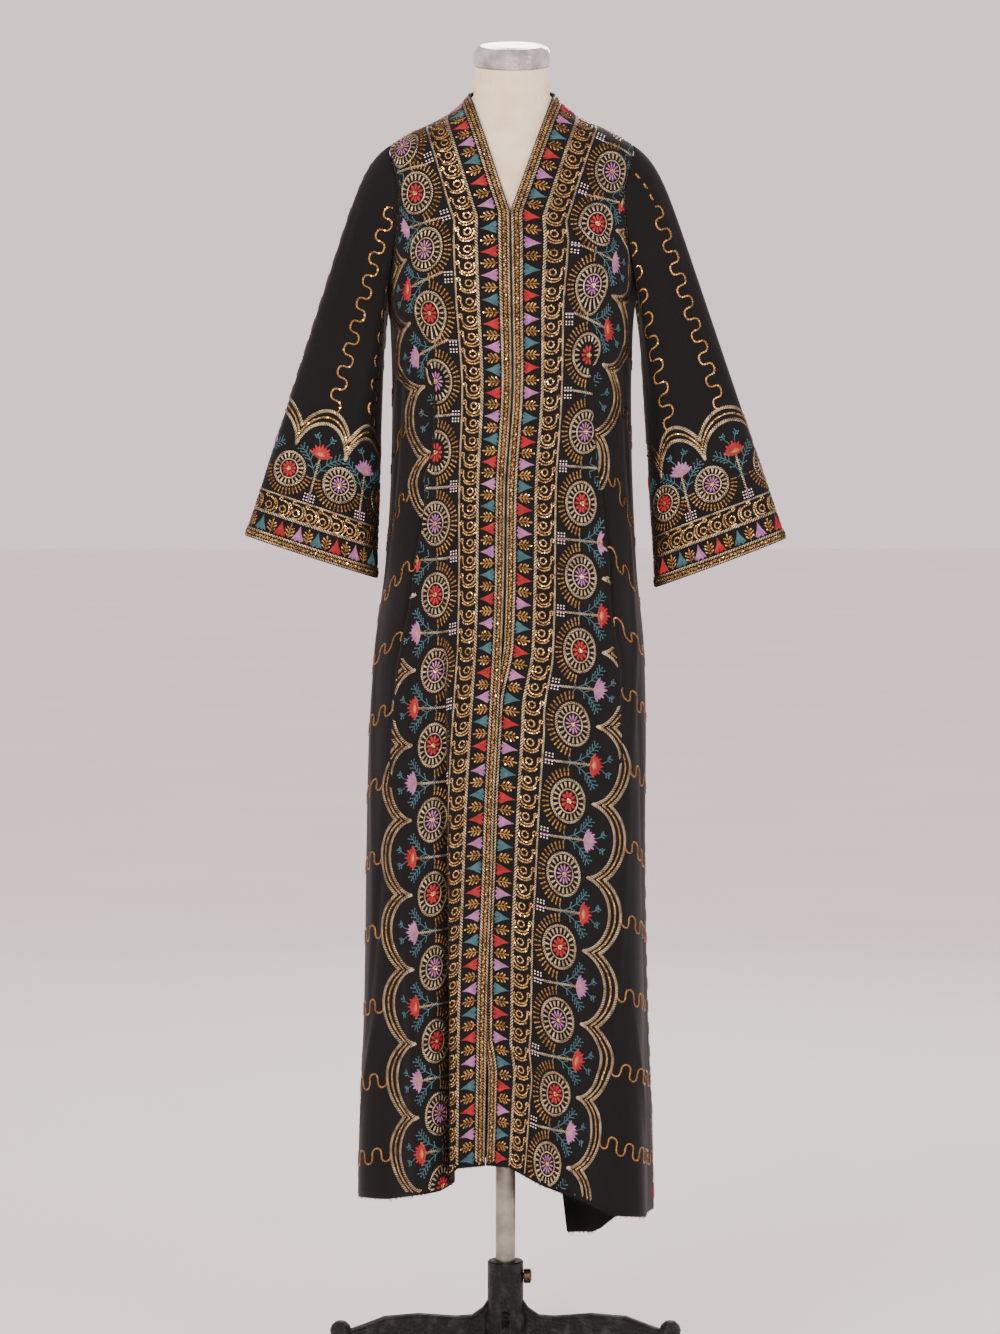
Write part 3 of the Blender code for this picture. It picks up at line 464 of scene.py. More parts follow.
def lap(z, before=0.0):
    """1 where the right front laps over the left one, 0 elsewhere; before widens the stretch."""
    upper = smooth((LAP_TOP + before - z) / LAP_TOP_FADE)
    lower = smooth((z - LAP_BOTTOM + before) / LAP_BOTTOM_FADE)
    return upper * lower


def edge_x(z):
    """Where the two fronts meet below the V."""
    return np.interp(z, *EDGE_X)


def front_edge_angle(z, side):
    """Angle of a front's edge: down the centre, then up the V to the side of the neck."""
    neck = lean(NECK_SIDE) + side * robe_size("half_width", NECK_SIDE)
    start = edge_x(V_BOTTOM)
    rise = np.clip((z - V_BOTTOM) / (NECK_SIDE - V_BOTTOM), 0.0, 1.0)
    v_edge = start + (neck - start) * rise
    overlap = LAP_WIDTH * lap(z) if side > 0 else 0.0
    centre = edge_x(z) + side * SEAM / 2 - overlap
    return angle_at(np.where(z > V_BOTTOM, v_edge + side * SEAM / 2, centre) - lean(z), z)


def armhole_sweep(z):
    """Angle from the side of the robe to the armhole's edge."""
    share = np.clip((z - UNDERARM) / (SHOULDER_TIP - UNDERARM), 0.0, 1.0)
    return ARMHOLE_SWEEP * np.sqrt(np.clip(4 * share * (1 - share), 0.0, 1.0))


def hem_height(angle):
    """Height of the hem at an angle."""
    return read_table((np.degrees(angle) + 90) % 360 - 90, HEM, HEM_COLUMNS, "z")


def crease_offset(angle, z):
    """Soft creases of the cloth: long slanted ridges and troughs, each with its own length and depth."""
    out = np.zeros(np.broadcast(angle, z).shape)
    for middle, height, length, width, depth, slant in CREASES:
        up = (z - height) / length
        away = turn_from(angle, math.radians(middle) + math.radians(slant) * up) / math.radians(width)
        out = out + depth * bell(away) * bell(up)
    return out


def tuck_offset(angle, z):
    """The tucks at the waist: a fine ridge along each cut line and a trough just beyond it."""
    out = np.zeros(np.broadcast(angle, z).shape)
    for side, rows in TUCKS.items():
        at = np.radians(read_table(z, rows, TUCK_COLUMNS, "angle"))
        share = read_table(z, rows, TUCK_COLUMNS, "hidden") / TUCK_HIDES
        away = np.degrees(side * turn_from(angle, at))
        trough = TUCK_TROUGH_SHARE * bell((away - TUCK_TROUGH) / TUCK_TROUGH)
        out = out + TUCK_DEPTH * share * (bell((away + TUCK_RIDGE) / TUCK_RIDGE) - trough)
    return out


def hung_point(angle, z, side=0):
    """Points of the surface that the tables and folds give; side 1 sinks where the left front is lapped."""
    reach = robe_reach(angle, z) + fold_offset(angle, z) + crease_offset(angle, z) + tuck_offset(angle, z)
    if side > 0:
        from_edge = (angle - front_edge_angle(z, side)) * reach
        reach = reach - LAP_SINK * lap(z, SINK_LONGER) * bell(from_edge / SINK_WIDTH)
    return np.stack([lean(z) + reach * np.sin(angle), -reach * np.cos(angle), z + 0 * reach], axis=-1)


def unit(vectors):
    """Vectors of length 1."""
    return vectors / np.maximum(np.linalg.norm(vectors, axis=-1, keepdims=True), 1e-12)


class Surface:
    """A surface of two parameters held on a fine even grid, and read between its points.

    The normal is the cross product of the derivatives by the first and the second parameter.
    """

    def __init__(self, points, first, second, flip=1.0):
        self.start = np.array([first[0], second[0]])
        self.step = np.array([first[1] - first[0], second[1] - second[0]])
        self.points = points
        self.by_first = np.gradient(points, self.step[0], axis=0)
        self.by_second = np.gradient(points, self.step[1], axis=1)
        self.normals = flip * unit(np.cross(self.by_first, self.by_second))

    def read(self, grid, a, b):
        """Bilinear reading of a grid."""
        i = np.clip((a - self.start[0]) / self.step[0], 0, grid.shape[0] - 1.001)
        j = np.clip((b - self.start[1]) / self.step[1], 0, grid.shape[1] - 1.001)
        i0, j0 = i.astype(int), j.astype(int)
        fi, fj = i - i0, j - j0
        if grid.ndim == 3:
            fi, fj = fi[..., None], fj[..., None]
        low = grid[i0, j0] * (1 - fj) + grid[i0, j0 + 1] * fj
        high = grid[i0 + 1, j0] * (1 - fj) + grid[i0 + 1, j0 + 1] * fj
        return low * (1 - fi) + high * fi

    def at(self, a, b, height=0.0):
        """Points at a height over the surface."""
        points = self.read(self.points, a, b)
        return points + np.asarray(height)[..., None] * self.read(self.normals, a, b)


def robe_surface(side, low, high):
    """The robe's outer surface by angle and height: a cloth's thickness over the form where it rests."""
    angles = np.radians(np.arange(low, high + 0.01, ANGLE_STEP))
    heights = np.arange(GRID_LOW, GRID_HIGH, HEIGHT_STEP)
    a, z = np.meshgrid(angles, heights, indexing="ij")
    hung = Surface(hung_point(a, z, side), angles, heights)
    lift = (CLOTH + ON_FORM) * on_shoulders(z)
    return Surface(hung.points + lift[..., None] * hung.normals + SHIFT, angles, heights)


def sleeve_surface(side, robe):
    """A sleeve by turn round it and share v of the way from the armhole to the cuff.

    Point = armhole * (1 - v) + cuff * v + head + folds. The armhole's ring stands just clear of the panels,
    the cuff is a flat oval, the head stands out over the shoulder. Turn 0 is on top, pi under the arm; the
    surface goes on a little past a whole turn at both ends.
    """
    turn = np.radians(np.arange(TURN_FIRST, TURN_LAST + 0.1, TURN_STEP))
    zero = int(-TURN_FIRST / TURN_STEP)
    once = slice(zero, zero + int(360 / TURN_STEP))
    v = np.linspace(0.0, 1.0, 161)
    z = UNDERARM + (SHOULDER_TIP - UNDERARM) * (1 + np.cos(turn)) / 2
    swept = np.where(np.sin(turn) > 0, -1.0, 1.0) * armhole_sweep(z)
    angle = side * (math.pi / 2 + swept)
    ring, normals = robe.at(angle, z), robe.read(robe.normals, angle, z)
    middle = robe.at(np.array([side * math.pi / 2]), np.array([(UNDERARM + SHOULDER_TIP) / 2]))
    inward = middle - ring
    inward = unit(inward - (inward * normals).sum(1, keepdims=True) * normals)
    ring = ring + SLEEVE_SEAM_OFF * (normals + 0.8 * inward)
    _, *ends = next(row for row in CUFFS if row[0] == side)
    outer, inner = (np.array([x, CUFF_Y, height]) + SHIFT for x, height in (ends[:2], ends[2:]))
    deep = -CUFF_HALF_DEPTH * np.sign(np.sin(turn)) * np.abs(np.sin(turn)) ** CUFF_POWER
    cuff = (outer + inner) / 2 + np.cos(turn)[:, None] * (outer - inner) / 2
    cuff = cuff + deep[:, None] * np.array([0.0, 1.0, 0.0])
    line = unit(outer - ring[zero])
    out = np.array([side * abs(line[2]), 0.0, abs(line[0])])
    on_top = smooth((np.cos(turn) + 0.2) / 0.8) * np.cos(turn / 2) ** 2
    head = SLEEVE_HEAD * (1 - v) * (1 - np.exp(-v / HEAD_RISE)) * on_top[:, None]
    w = v[None, :, None]
    points = ring[:, None] * (1 - w) + cuff[:, None] * w + head[..., None] * out
    to_edge = unit(points - points[once].mean(axis=0, keepdims=True))
    fold = np.zeros(points.shape[:2])
    for at, depth, width, along, reach in SLEEVE_FOLDS + SLEEVE_CREASES:
        away = (np.degrees(turn)[:, None] - at - SLEEVE_TWIST * (v - along) + 180) % 360 - 180
        fold = fold + depth * bell(away / width) * bell((v - along) / reach)
    fold = fold * np.clip(v / SLEEVE_FADES[0], 0, 1) * np.clip((1 - v) / SLEEVE_FADES[1], 0, 1)
    return Surface(points + fold[..., None] * to_edge, turn, v, side)


def walk(surface, angle, z, heading, step, count):
    """Walks straight on over the surface from each start, along its heading.

    Each step adds step * heading, drops back to the surface by least squares on its two slopes, and turns
    the heading into the new tangent plane. Returns the angles and heights met, one row for each step.
    """
    angles, heights = [angle], [z]
    point = surface.at(angle, z)
    for _ in range(count):
        target = point + step * heading
        for _ in range(2):
            by_a = surface.read(surface.by_first, angle, z)
            by_z = surface.read(surface.by_second, angle, z)
            miss = target - surface.at(angle, z)
            aa, zz, az = (by_a * by_a).sum(-1), (by_z * by_z).sum(-1), (by_a * by_z).sum(-1)
            ma, mz = (miss * by_a).sum(-1), (miss * by_z).sum(-1)
            det = aa * zz - az * az
            angle = angle + np.clip((ma * zz - mz * az) / det, -0.1, 0.1)
            z = z + np.clip((mz * aa - ma * az) / det, -0.02, 0.02)
        point = surface.at(angle, z)
        normal = surface.read(surface.normals, angle, z)
        heading = unit(heading - (heading * normal).sum(-1, keepdims=True) * normal)
        angles.append(angle)
        heights.append(z)
    return np.array(angles), np.array(heights)


def blurred(rows, sigma):
    """A list of vectors smoothed along its length by a bell curve of that many rows."""
    reach = int(4 * sigma)
    bell = np.exp(-0.5 * (np.arange(-reach, reach + 1) / sigma) ** 2)
    padded = np.pad(rows, ((reach, reach), (0, 0)), mode="edge")
    return np.stack([np.convolve(c, bell / bell.sum(), mode="valid") for c in padded.T], axis=1)


def run_length(points):
    """Distance run along each line of points, down the first axis."""
    pieces = np.linalg.norm(np.diff(points, axis=0), axis=-1)
    return np.concatenate([np.zeros((1,) + pieces.shape[1:]), np.cumsum(pieces, axis=0)])


def edge_line(side, surface, spacing):
    """Angles and heights along a front's edge: centre back, round the neck, down the V and the centre."""
    round_neck = np.linspace(math.pi, math.pi / 2, 400)
    down = np.linspace(NECK_SIDE, 0.25, 4000)
    z = np.concatenate([NECK_SIDE + BACK_NECK_RISE * np.cos(round_neck - math.pi), down[1:]])
    angle = np.concatenate([side * round_neck, front_edge_angle(down[1:], side)])
    length = run_length(surface.at(angle, z))
    length -= length[len(round_neck) - 1]
    t = np.arange(-int(-length[0] / spacing) * spacing, length[-1], spacing)
    return t, np.interp(t, length, angle), np.interp(t, length, z)


def soft_hem(angle):
    """The hem's height, its corners rounded by averaging over some degrees."""
    return sum(hem_height(angle + math.radians(d)) for d in (-8, -4, 0, 4, 8)) / 5


def rows_across(surface, side, edge_angle, edge_z, want):
    """Angles and heights along the cloth's crosswise rows below the chest, at distances from the edge.

    A row starts at the front edge and bends down towards the sides as the hem does, less so higher up.
    """
    angle = edge_angle[None] + side * np.linspace(0.0, math.radians(118), 1200)[:, None]
    below = np.clip((UNDERARM - edge_z) / (UNDERARM - HEM_SIDE), 0.0, 1.0)
    z = edge_z[None] + (soft_hem(angle) - soft_hem(edge_angle)[None]) * below[None]
    return resampled(want, run_length(surface.at(angle, z)), angle, z)


class Layout:
    """A piece of cloth laid flat: s is the distance from its edge and t the distance along the edge."""

    def __init__(self, surface, s, t, angles, heights, tuck=None):
        self.s, self.t = s, t
        self.cloth = surface
        self.tuck = np.zeros((2, len(t))) if tuck is None else tuck
        self.params = np.stack([angles, heights], axis=-1)
        self.flat = Surface(surface.at(angles, heights), s, t)
        self.stretch = np.linalg.norm(self.flat.by_second, axis=-1)
        self.run = run_length(self.flat.points.swapaxes(0, 1)).T

    def place(self, spots):
        """World points of (s, t, height) rows, and their places on the cloth's own surface."""
        s, t, height = spots[..., 0], spots[..., 1], spots[..., 2]
        params = self.flat.read(self.params, s, t)
        return self.cloth.at(params[..., 0], params[..., 1], height), params

    def near(self, s0, t0, out, along):
        """The (s, t) of spots that lie out and along from (s0, t0), in real distances."""
        s = s0 + out
        held = np.clip(s, 0.0, self.s[-1])
        t = t0 + 0 * s
        want = self.flat.read(self.run, held, t) + along
        for _ in range(4):
            miss = want - self.flat.read(self.run, held, t)
            t = t + np.clip(miss / np.maximum(self.flat.read(self.stretch, held, t), 0.25), -0.03, 0.03)
        return np.stack([s, t], axis=-1)

    def shown(self, spots):
        """Which spots aren't folded away in the tuck."""
        s, t = spots[..., 0], spots[..., 1]
        cut, hidden = (np.interp(t, self.t, row) for row in self.tuck)
        return (s < cut) | (s >= cut + hidden)


def front_layout(side, surface):
    """The layout of a front: rows across the skirt below, straight lines over the chest and shoulder above.

    Where the cloth is tucked at the waist, what lies beyond the tuck's cut moves in by the hidden width.
    """
    s = np.arange(0.0, FRONT_REACH, LAYOUT_OUT)
    t, edge_angle, edge_z = edge_line(side, surface, LAYOUT_ALONG)
    rows = rows_across(surface, side, edge_angle, edge_z, s)
    line = surface.at(edge_angle, edge_z)
    straight = surface.read(surface.by_second, edge_angle, edge_z)
    up = unit(np.where((edge_z < V_BOTTOM)[:, None], straight, -np.gradient(line, axis=0)))
    front, back = (blurred(up, turn / LAYOUT_ALONG) for turn in (FRONT_TURN, NECK_TURN))
    share = smooth((t - TURNS_FROM) / TURNS_OVER)[:, None]
    up = unit(front * share + back * (1 - share))
    heading = unit(side * np.cross(up, surface.read(surface.normals, edge_angle, edge_z)))
    walked = walk(surface, edge_angle, edge_z, heading, LAYOUT_OUT, len(s) - 1)
    weight = smooth((edge_z - ROWS_BELOW) / (ROWS_FULLY_ABOVE - ROWS_BELOW))
    angles, heights = (low * (1 - weight) + high * weight for low, high in zip(rows, walked))
    across = read_table(edge_z, ACROSS, ACROSS_COLUMNS, "left" if side > 0 else "right")
    below_neck = t > 0
    tuck = [read_table(edge_z, TUCKS[side], TUCK_COLUMNS, name) * below_neck for name in ("cut", "hidden")]
    tuck = np.stack(tuck)
    above = smooth((edge_z - SQUEEZE_ABOVE) / (SQUEEZE_FULLY - SQUEEZE_ABOVE))
    squeezed = 1 - (1 - SQUEEZE) * above * below_neck
    for j in range(len(t)):
        tucked = np.where(s < tuck[0, j], s, np.maximum(tuck[0, j], s - tuck[1, j]))
        tucked = np.minimum(tucked, SQUEEZE_FROM + (tucked - SQUEEZE_FROM) * squeezed[j])
        angles[:, j] = np.interp(tucked * across[j], s, angles[:, j])
        heights[:, j] = np.interp(tucked * across[j], s, heights[:, j])
    return Layout(surface, s, t, angles, heights, tuck)


def sleeve_layout(surface):
    """The layout of a sleeve: s runs up from the cuff, t round it from its outer edge over the front."""
    turns = np.linspace(math.radians(TURN_FIRST), math.radians(TURN_LAST), surface.points.shape[0])
    t_real = run_length(surface.points[:, -1])
    start, end = np.interp([0.0, 2 * math.pi], turns, t_real)
    t = np.arange(-SLEEVE_OVERLAP, end - start + SLEEVE_OVERLAP, LAYOUT_ALONG)
    turn = np.interp(t + start, t_real, turns)
    v = np.linspace(1.0, 0.0, 400)[:, None] + 0 * turn[None]
    s = np.arange(0.0, SLEEVE_REACH, LAYOUT_OUT)
    (vs,) = resampled(s, run_length(surface.at(turn[None] + 0 * v, v)), v)
    return Layout(surface, s, t, np.broadcast_to(turn, vs.shape), vs)


def back_layout(surface):
    """The layout of the back: t runs along a smooth line near the hem, s straight up from it."""
    degrees = np.linspace(BACK_FROM, BACK_TO, 1200)
    low = blurred(read_table(degrees, BACK_BASE, BACK_BASE_COLUMNS, "z")[:, None], 45)[:, 0]
    length = run_length(surface.at(np.radians(degrees), low))
    t = np.arange(0.0, length[-1], LAYOUT_ALONG)
    angle, low = np.radians(np.interp(t, length, degrees)), np.interp(t, length, low)
    heights = np.minimum(low[None] + np.linspace(0.0, 1.45, 1400)[:, None], 1.70)
    s = np.arange(0.0, BACK_REACH, LAYOUT_OUT)
    (z,) = resampled(s, run_length(surface.at(angle[None] + 0 * heights, heights)), heights)
    return Layout(surface, s, t, np.broadcast_to(angle, z.shape), z)


# Meshes
def add_mesh(name, points, faces, finish):
    """An object from points and faces of one size, riding with the form."""
    mesh = bpy.data.meshes.new(name)
    mesh.vertices.add(len(points))
    mesh.vertices.foreach_set("co", points.astype(np.float32).ravel())
    mesh.loops.add(faces.size)
    mesh.loops.foreach_set("vertex_index", faces.astype(np.int32).ravel())
    mesh.polygons.add(len(faces))
    mesh.polygons.foreach_set("loop_start", np.arange(0, faces.size, faces.shape[1], dtype=np.int32))
    mesh.update(calc_edges=True)
    mesh.polygons.foreach_set("use_smooth", np.full(len(faces), True))
    mesh.materials.append(finish)
    made = bpy.data.objects.new(name, mesh)
    bpy.context.scene.collection.objects.link(made)
    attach(made, "form")
    return made


def grid_faces(rows, columns, closed=False):
    """Quads over a grid of points, row by row; closed joins the last column to the first."""
    first = np.arange(rows - 1)[:, None] * columns
    here = np.arange(columns if closed else columns - 1)[None]
    after = (here + 1) % columns
    corners = (first + here, first + after, first + columns + after, first + columns + here)
    return np.stack(corners, axis=-1).reshape(-1, 4)


def add_shell(node, kind, points, finish, thickness, flip=False, closed=False):
    """A thin shell of cloth or tape in place of a CAD node; its outer side is a grid of points."""
    shown = (points[:, ::-1] if flip else points).reshape(-1, 3)
    made = add_mesh(node + "_" + kind, shown, grid_faces(*points.shape[:2], closed), finish)
    wall = made.modifiers.new("wall", "SOLIDIFY")
    wall.thickness = thickness
    wall.offset = -1.0
    wall.use_quality_normals = True
    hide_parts(node)


def spaced_evenly(grids, points, count):
    """The grids read again at columns spaced evenly by distance along each row."""
    length = run_length(points.swapaxes(0, 1))
    out = [np.zeros((points.shape[0], count)) for _ in grids]
    for row in range(points.shape[0]):
        want = np.linspace(0.0, length[-1, row], count)
        for grid, made in zip(grids, out):
            made[row] = np.interp(want, length[:, row], grid[row])
    return out


def row_heights(skirt_rows, armhole_rows):
    """Heights of the rows at the side seam and the armhole, hem to shoulder tip."""
    skirt = np.linspace(HEM_SIDE, UNDERARM, skirt_rows + 1)
    turn = math.pi - math.pi * np.arange(1, armhole_rows + 1) / armhole_rows
    return np.concatenate([skirt, UNDERARM + (SHOULDER_TIP - UNDERARM) * (1 + np.cos(turn)) / 2])


def grid_heights(rows, hem, top):
    """Height of each row and column: level rows, bent to the hem below and the shoulder above."""
    rows = rows[:, None]
    below = np.clip((UNDERARM - rows) / (UNDERARM - HEM_SIDE), 0.0, 1.0)
    above = np.clip((rows - UNDERARM) / (SHOULDER_TIP - UNDERARM), 0.0, 1.0) ** 2
    return rows + (hem[None, :] - HEM_SIDE) * below + (top[None, :] - SHOULDER_TIP) * above


def shoulder_share(z, neck_share):
    """Share of a half panel's columns that still lie below the shoulder seam at a height."""
    rise = np.clip((z - SHOULDER_TIP) / (NECK_SIDE - SHOULDER_TIP), 0.0, 1.0)
    return 1 + (neck_share - 1) * rise


def front_grid(side, surface):
    """Angles and heights of a front panel's shell, hem to shoulder and edge to side seam."""
    even = np.linspace(0.0, 1.0, 700)
    low = np.full(len(even), HEM_SIDE)
    for _ in range(3):
        first = side * front_edge_angle(low, side)
        low = hem_height(side * (first + (math.pi / 2 - first) * even))
    top = NECK_SIDE + (SHOULDER_TIP - NECK_SIDE) * even
    z = grid_heights(row_heights(SKIRT_ROWS, ARMHOLE_ROWS), low, top)
    first = side * front_edge_angle(z, side)
    last = math.pi / 2 - SEAM / 2 / robe_size("half_width", z) - armhole_sweep(z)
    part = np.clip(even / np.maximum(shoulder_share(z, 0.0), 1e-6), 0.0, 1.0)
    part = np.where(z >= NECK_SIDE - 1e-6, 1.0, part)
    angle = side * (first + (last - first) * part)
    return spaced_evenly((angle, z), surface.at(angle, z), FRONT_COLUMNS)


def back_grid(surface):
    """Angles and heights of the back panel's shell, from its left side seam round to its right one."""
    even = np.linspace(-1.0, 1.0, 1200)
    away = np.abs(even)
    rise = BACK_NECK_RISE * np.cos(math.pi / 2 * np.minimum(away / NECK_SHARE_BACK, 1.0))
    down = np.clip((away - NECK_SHARE_BACK) / (1 - NECK_SHARE_BACK), 0.0, 1.0)
    top = NECK_SIDE + rise + (SHOULDER_TIP - NECK_SIDE) * down
    z = grid_heights(row_heights(SKIRT_ROWS, ARMHOLE_ROWS), hem_height(math.pi + even * math.pi / 2), top)
    part = np.clip(even / shoulder_share(z, NECK_SHARE_BACK), -1.0, 1.0)
    half = math.pi / 2 - SEAM / 2 / robe_size("half_width", z) - armhole_sweep(z)
    angle = math.pi + half * part
    return spaced_evenly((angle, z), surface.at(angle % (2 * math.pi), z), BACK_COLUMNS)


# Materials
def colour(code):
    """Linear colour of an sRGB hex code, with alpha 1."""
    parts = [int(code[i : i + 2], 16) / 255 for i in (1, 3, 5)]
    return [c / 12.92 if c <= 0.04045 else ((c + 0.055) / 1.055) ** 2.4 for c in parts] + [1.0]


def linear(tint):
    """Linear colour of a hex code, or of a colour property as it is."""
    return colour(tint) if isinstance(tint, str) else list(tint)


def add_node(tree, kind, settings=None, **inputs):
    """A node with its settings and inputs."""
    made = tree.nodes.new("ShaderNode" + kind)
    for name, value in (settings or {}).items():
        setattr(made, name, value)
    feed(tree, made, **inputs)
    return made


def feed(tree, node, **inputs):
    """Gives inputs of a node their constants, or links the outputs that feed them."""
    for name, value in inputs.items():
        socket = node.inputs[name.replace("_", " ")]
        if isinstance(value, bpy.types.NodeSocket):
            tree.links.new(value, socket)
        else:
            socket.default_value = value


def noise(tree, place, size, detail=2.0):
    """Noise whose blotches are about that many metres across."""
    return add_node(tree, "TexNoise", Vector=place, Scale=1.0 / size, Detail=detail).outputs["Fac"]


def between(tree, share, first, second, low=0.3, high=0.7):
    """A colour that goes from one to another as a share goes from low to high."""
    ramp = add_node(tree, "ValToRGB", Fac=share)
    for element, position, tint in zip(ramp.color_ramp.elements, (low, high), (first, second)):
        element.position = position
        element.color = linear(tint)
    return ramp.outputs["Color"]


def spread(tree, share, low, high):
    """A share stretched to run from low to high."""
    return add_node(tree, "MapRange", Value=share, To_Min=low, To_Max=high).outputs["Result"]


def bumps(tree, *layers):
    """A normal from layers of (height output, depth in metres), one on the other."""
    below = {}
    for height, depth in layers:
        made = add_node(tree, "Bump", Height=height, Distance=depth, **below)
        below = {"Normal": made.outputs["Normal"]}
    return below["Normal"]


def paint_crepe(tree, shader, place, look):
    """Matte polyester crepe: hard twisted yarns make a fine pebbled grain; the eye sees deep soft black."""
    grain = noise(tree, place, 0.0011, 3.0)
    drawn = add_node(tree, "Mapping", Vector=place, Scale=(1.0, 1.0, 0.12)).outputs["Vector"]
    slubs = noise(tree, drawn, 0.003)
    wear = noise(tree, place, 0.09, 3.0)
    feed(
        tree,
        shader,
        Base_Color=between(tree, wear, look.crepe_dark, look.crepe_light, 0.25, 0.75),
        Roughness=spread(tree, grain, 0.72, 0.95),
        Specular_IOR_Level=0.18,
        Sheen_Weight=0.07,
        Sheen_Roughness=0.4,
        Normal=bumps(tree, (slubs, 0.00025), (grain, 0.0004)),
    )


def paint_thread(tree, shader, place, light, dark, metallic, roughness):
    """Embroidery thread: its colour runs finely between a painted shade tone and a painted highlight tone,
    along the twisted filaments and in broad patches, in place of light caught along their length.
    """
    twist_and_glint = noise(tree, place, 0.0009, 2.0)
    lit_patches = noise(tree, place, 0.011, 2.0)
    tone = add_node(tree, "Mix", Factor=LIT_PATCH_SHARE, A=twist_and_glint, B=lit_patches).outputs["Result"]
    feed(
        tree,
        shader,
        # Painted shade and painted highlights: noise moves the base colour from the dark tone to the bright
        # one
        Base_Color=between(tree, tone, dark, light, 0.40, 0.66),
        Metallic=metallic,
        Roughness=roughness,
        Specular_IOR_Level=0.5 if metallic else 0.25,
        Normal=bumps(tree, (twist_and_glint, 0.0003)),
    )


def paint_sequin(tree, shader, place, light, dark):
    """Tiny pressed metallic discs, each at its own tilt; their colour is painted spot by spot between a
    dark tone, a painted dark reflection, and a bright tone, a painted glint.
    """
    each = noise(tree, place, 0.0016, 0.0)
    # Painted reflection and painted glints: noise makes some spots bright and most dark
    base = between(tree, each, dark, light, 0.40, 0.62)
    feed(tree, shader, Base_Color=base, Metallic=1.0, Roughness=spread(tree, each, 0.10, 0.24))


def paint_cover(tree, shader, place, look):
    """Cream jersey stretched over the form: fine vertical wales, faint handling marks."""
    settings = {"bands_direction": "X"}
    wales = add_node(tree, "TexWave", settings, Vector=place, Scale=300.0, Distortion=2.0, Detail=2.0)
    marks = noise(tree, place, 0.03, 4.0)
    feed(
        tree,
        shader,
        Base_Color=between(tree, marks, look.cover_dark, look.cover_light, 0.3, 0.6),
        Roughness=0.78,
        Sheen_Weight=0.25,
        Subsurface_Weight=0.04,
        Normal=bumps(tree, (wales.outputs["Fac"], 0.0003), (noise(tree, place, 0.0008, 2.0), 0.0002)),
    )


def paint_metal(tree, shader, place, light, dark, roughness, spots, grain, stretch=1.0):
    """Bare metal whose polish and tone vary: spots of tarnish or handling, and a grain drawn upwards."""
    drawn = add_node(tree, "Mapping", Vector=place, Scale=(1.0, 1.0, stretch)).outputs["Vector"]
    lines = noise(tree, drawn, grain, 2.0)
    feed(
        tree,
        shader,
        Base_Color=between(tree, noise(tree, place, spots, 4.0), dark, light, 0.35, 0.6),
        Metallic=1.0,
        Roughness=spread(tree, lines, roughness * 0.7, roughness * 1.4),
        Normal=bumps(tree, (lines, 0.0001)),
    )


def paint_enamel(tree, shader, place, look):
    """Satin black enamel over rough sand-cast iron: the eye sees soft broken highlights and worn specks."""
    cast = noise(tree, place, 0.005, 6.0)
    worn = noise(tree, place, 0.012, 6.0)
    feed(
        tree,
        shader,
        Base_Color=between(tree, worn, look.iron_dark, look.iron_light, 0.50, 0.72),
        Roughness=spread(tree, cast, 0.30, 0.70),
        Specular_IOR_Level=0.22,
        Coat_Weight=0.04,
        Normal=bumps(tree, (cast, 0.0030), (noise(tree, place, 0.0014, 2.0), 0.0006)),
    )


def paint_floor(tree, shader, place, look):
    """Pale matte studio floor with a faint unevenness."""
    base = between(tree, noise(tree, place, 0.6, 3.0), look.floor_dark, look.floor_light)
    uneven = bumps(tree, (noise(tree, place, 0.004, 2.0), 0.0002))
    feed(tree, shader, Base_Color=base, Roughness=0.85, Normal=uneven)


def finish_named(key, name, paint, *arguments):
    """A material made once and used again by its key; paint feeds its shader from Object coordinates."""
    key = "finish " + key
    held = bpy.context.scene.get(key)
    if held and held in bpy.data.materials:
        return bpy.data.materials[held]
    made = bpy.data.materials.new(name)
    made.use_nodes = True
    tree = made.node_tree
    tree.nodes.clear()
    shader = add_node(tree, "BsdfPrincipled")
    add_node(tree, "OutputMaterial", Surface=shader.outputs["BSDF"])
    paint(tree, shader, add_node(tree, "TexCoord").outputs["Object"], *arguments)
    bpy.context.scene[key] = made.name
    return made


def crepe_finish(look, key="crepe"):
    """The crepe of the robe, or of its braids' tapes."""
    return finish_named(key, "matte black polyester crepe", paint_crepe, look)


# Cloth
SURFACES = {}


def surfaces():
    """The cloth surfaces and their flat layouts, worked out once."""
    if not SURFACES:
        SURFACES["left"] = robe_surface(1, -12, 192)
        SURFACES["right"] = robe_surface(-1, -192, 12)
        SURFACES["round"] = robe_surface(0, -2, 362)
        SURFACES["back_layout"] = back_layout(SURFACES["round"])
        for side, name in SIDES:
            SURFACES["sleeve_" + name] = sleeve_surface(side, SURFACES[name])
            SURFACES["front_layout_" + name] = front_layout(side, SURFACES[name])
            SURFACES["sleeve_layout_" + name] = sleeve_layout(SURFACES["sleeve_" + name])
    return SURFACES


def add_panels(look):
    """The two fronts, the back and the sleeves as thin shells in place of their solids."""
    held, crepe, wall = surfaces(), crepe_finish(look), look.cloth_wall
    turn = np.linspace(0.0, 2 * math.pi, SLEEVE_COLUMNS + 1)[:-1]
    a, v = np.meshgrid(turn, np.linspace(0.0, 1.0, SLEEVE_ROWS))
    for side, name in SIDES:
        points = held[name].at(*front_grid(side, held[name]))
        add_shell("front_" + name, "cloth", points, crepe, wall, side < 0)
        points = held["sleeve_" + name].at(a, v)
        add_shell("sleeve_" + name, "cloth", points, crepe, wall, side < 0, closed=True)
    add_shell("back", "cloth", held["round"].at(*back_grid(held["round"])), crepe, wall)


def hem_t(layout):
    """How far along a front's edge its hem is."""
    angle, z = layout.params[0, :, 0], layout.params[0, :, 1]
    return float(np.interp(0.0, hem_height(angle) - z, layout.t))


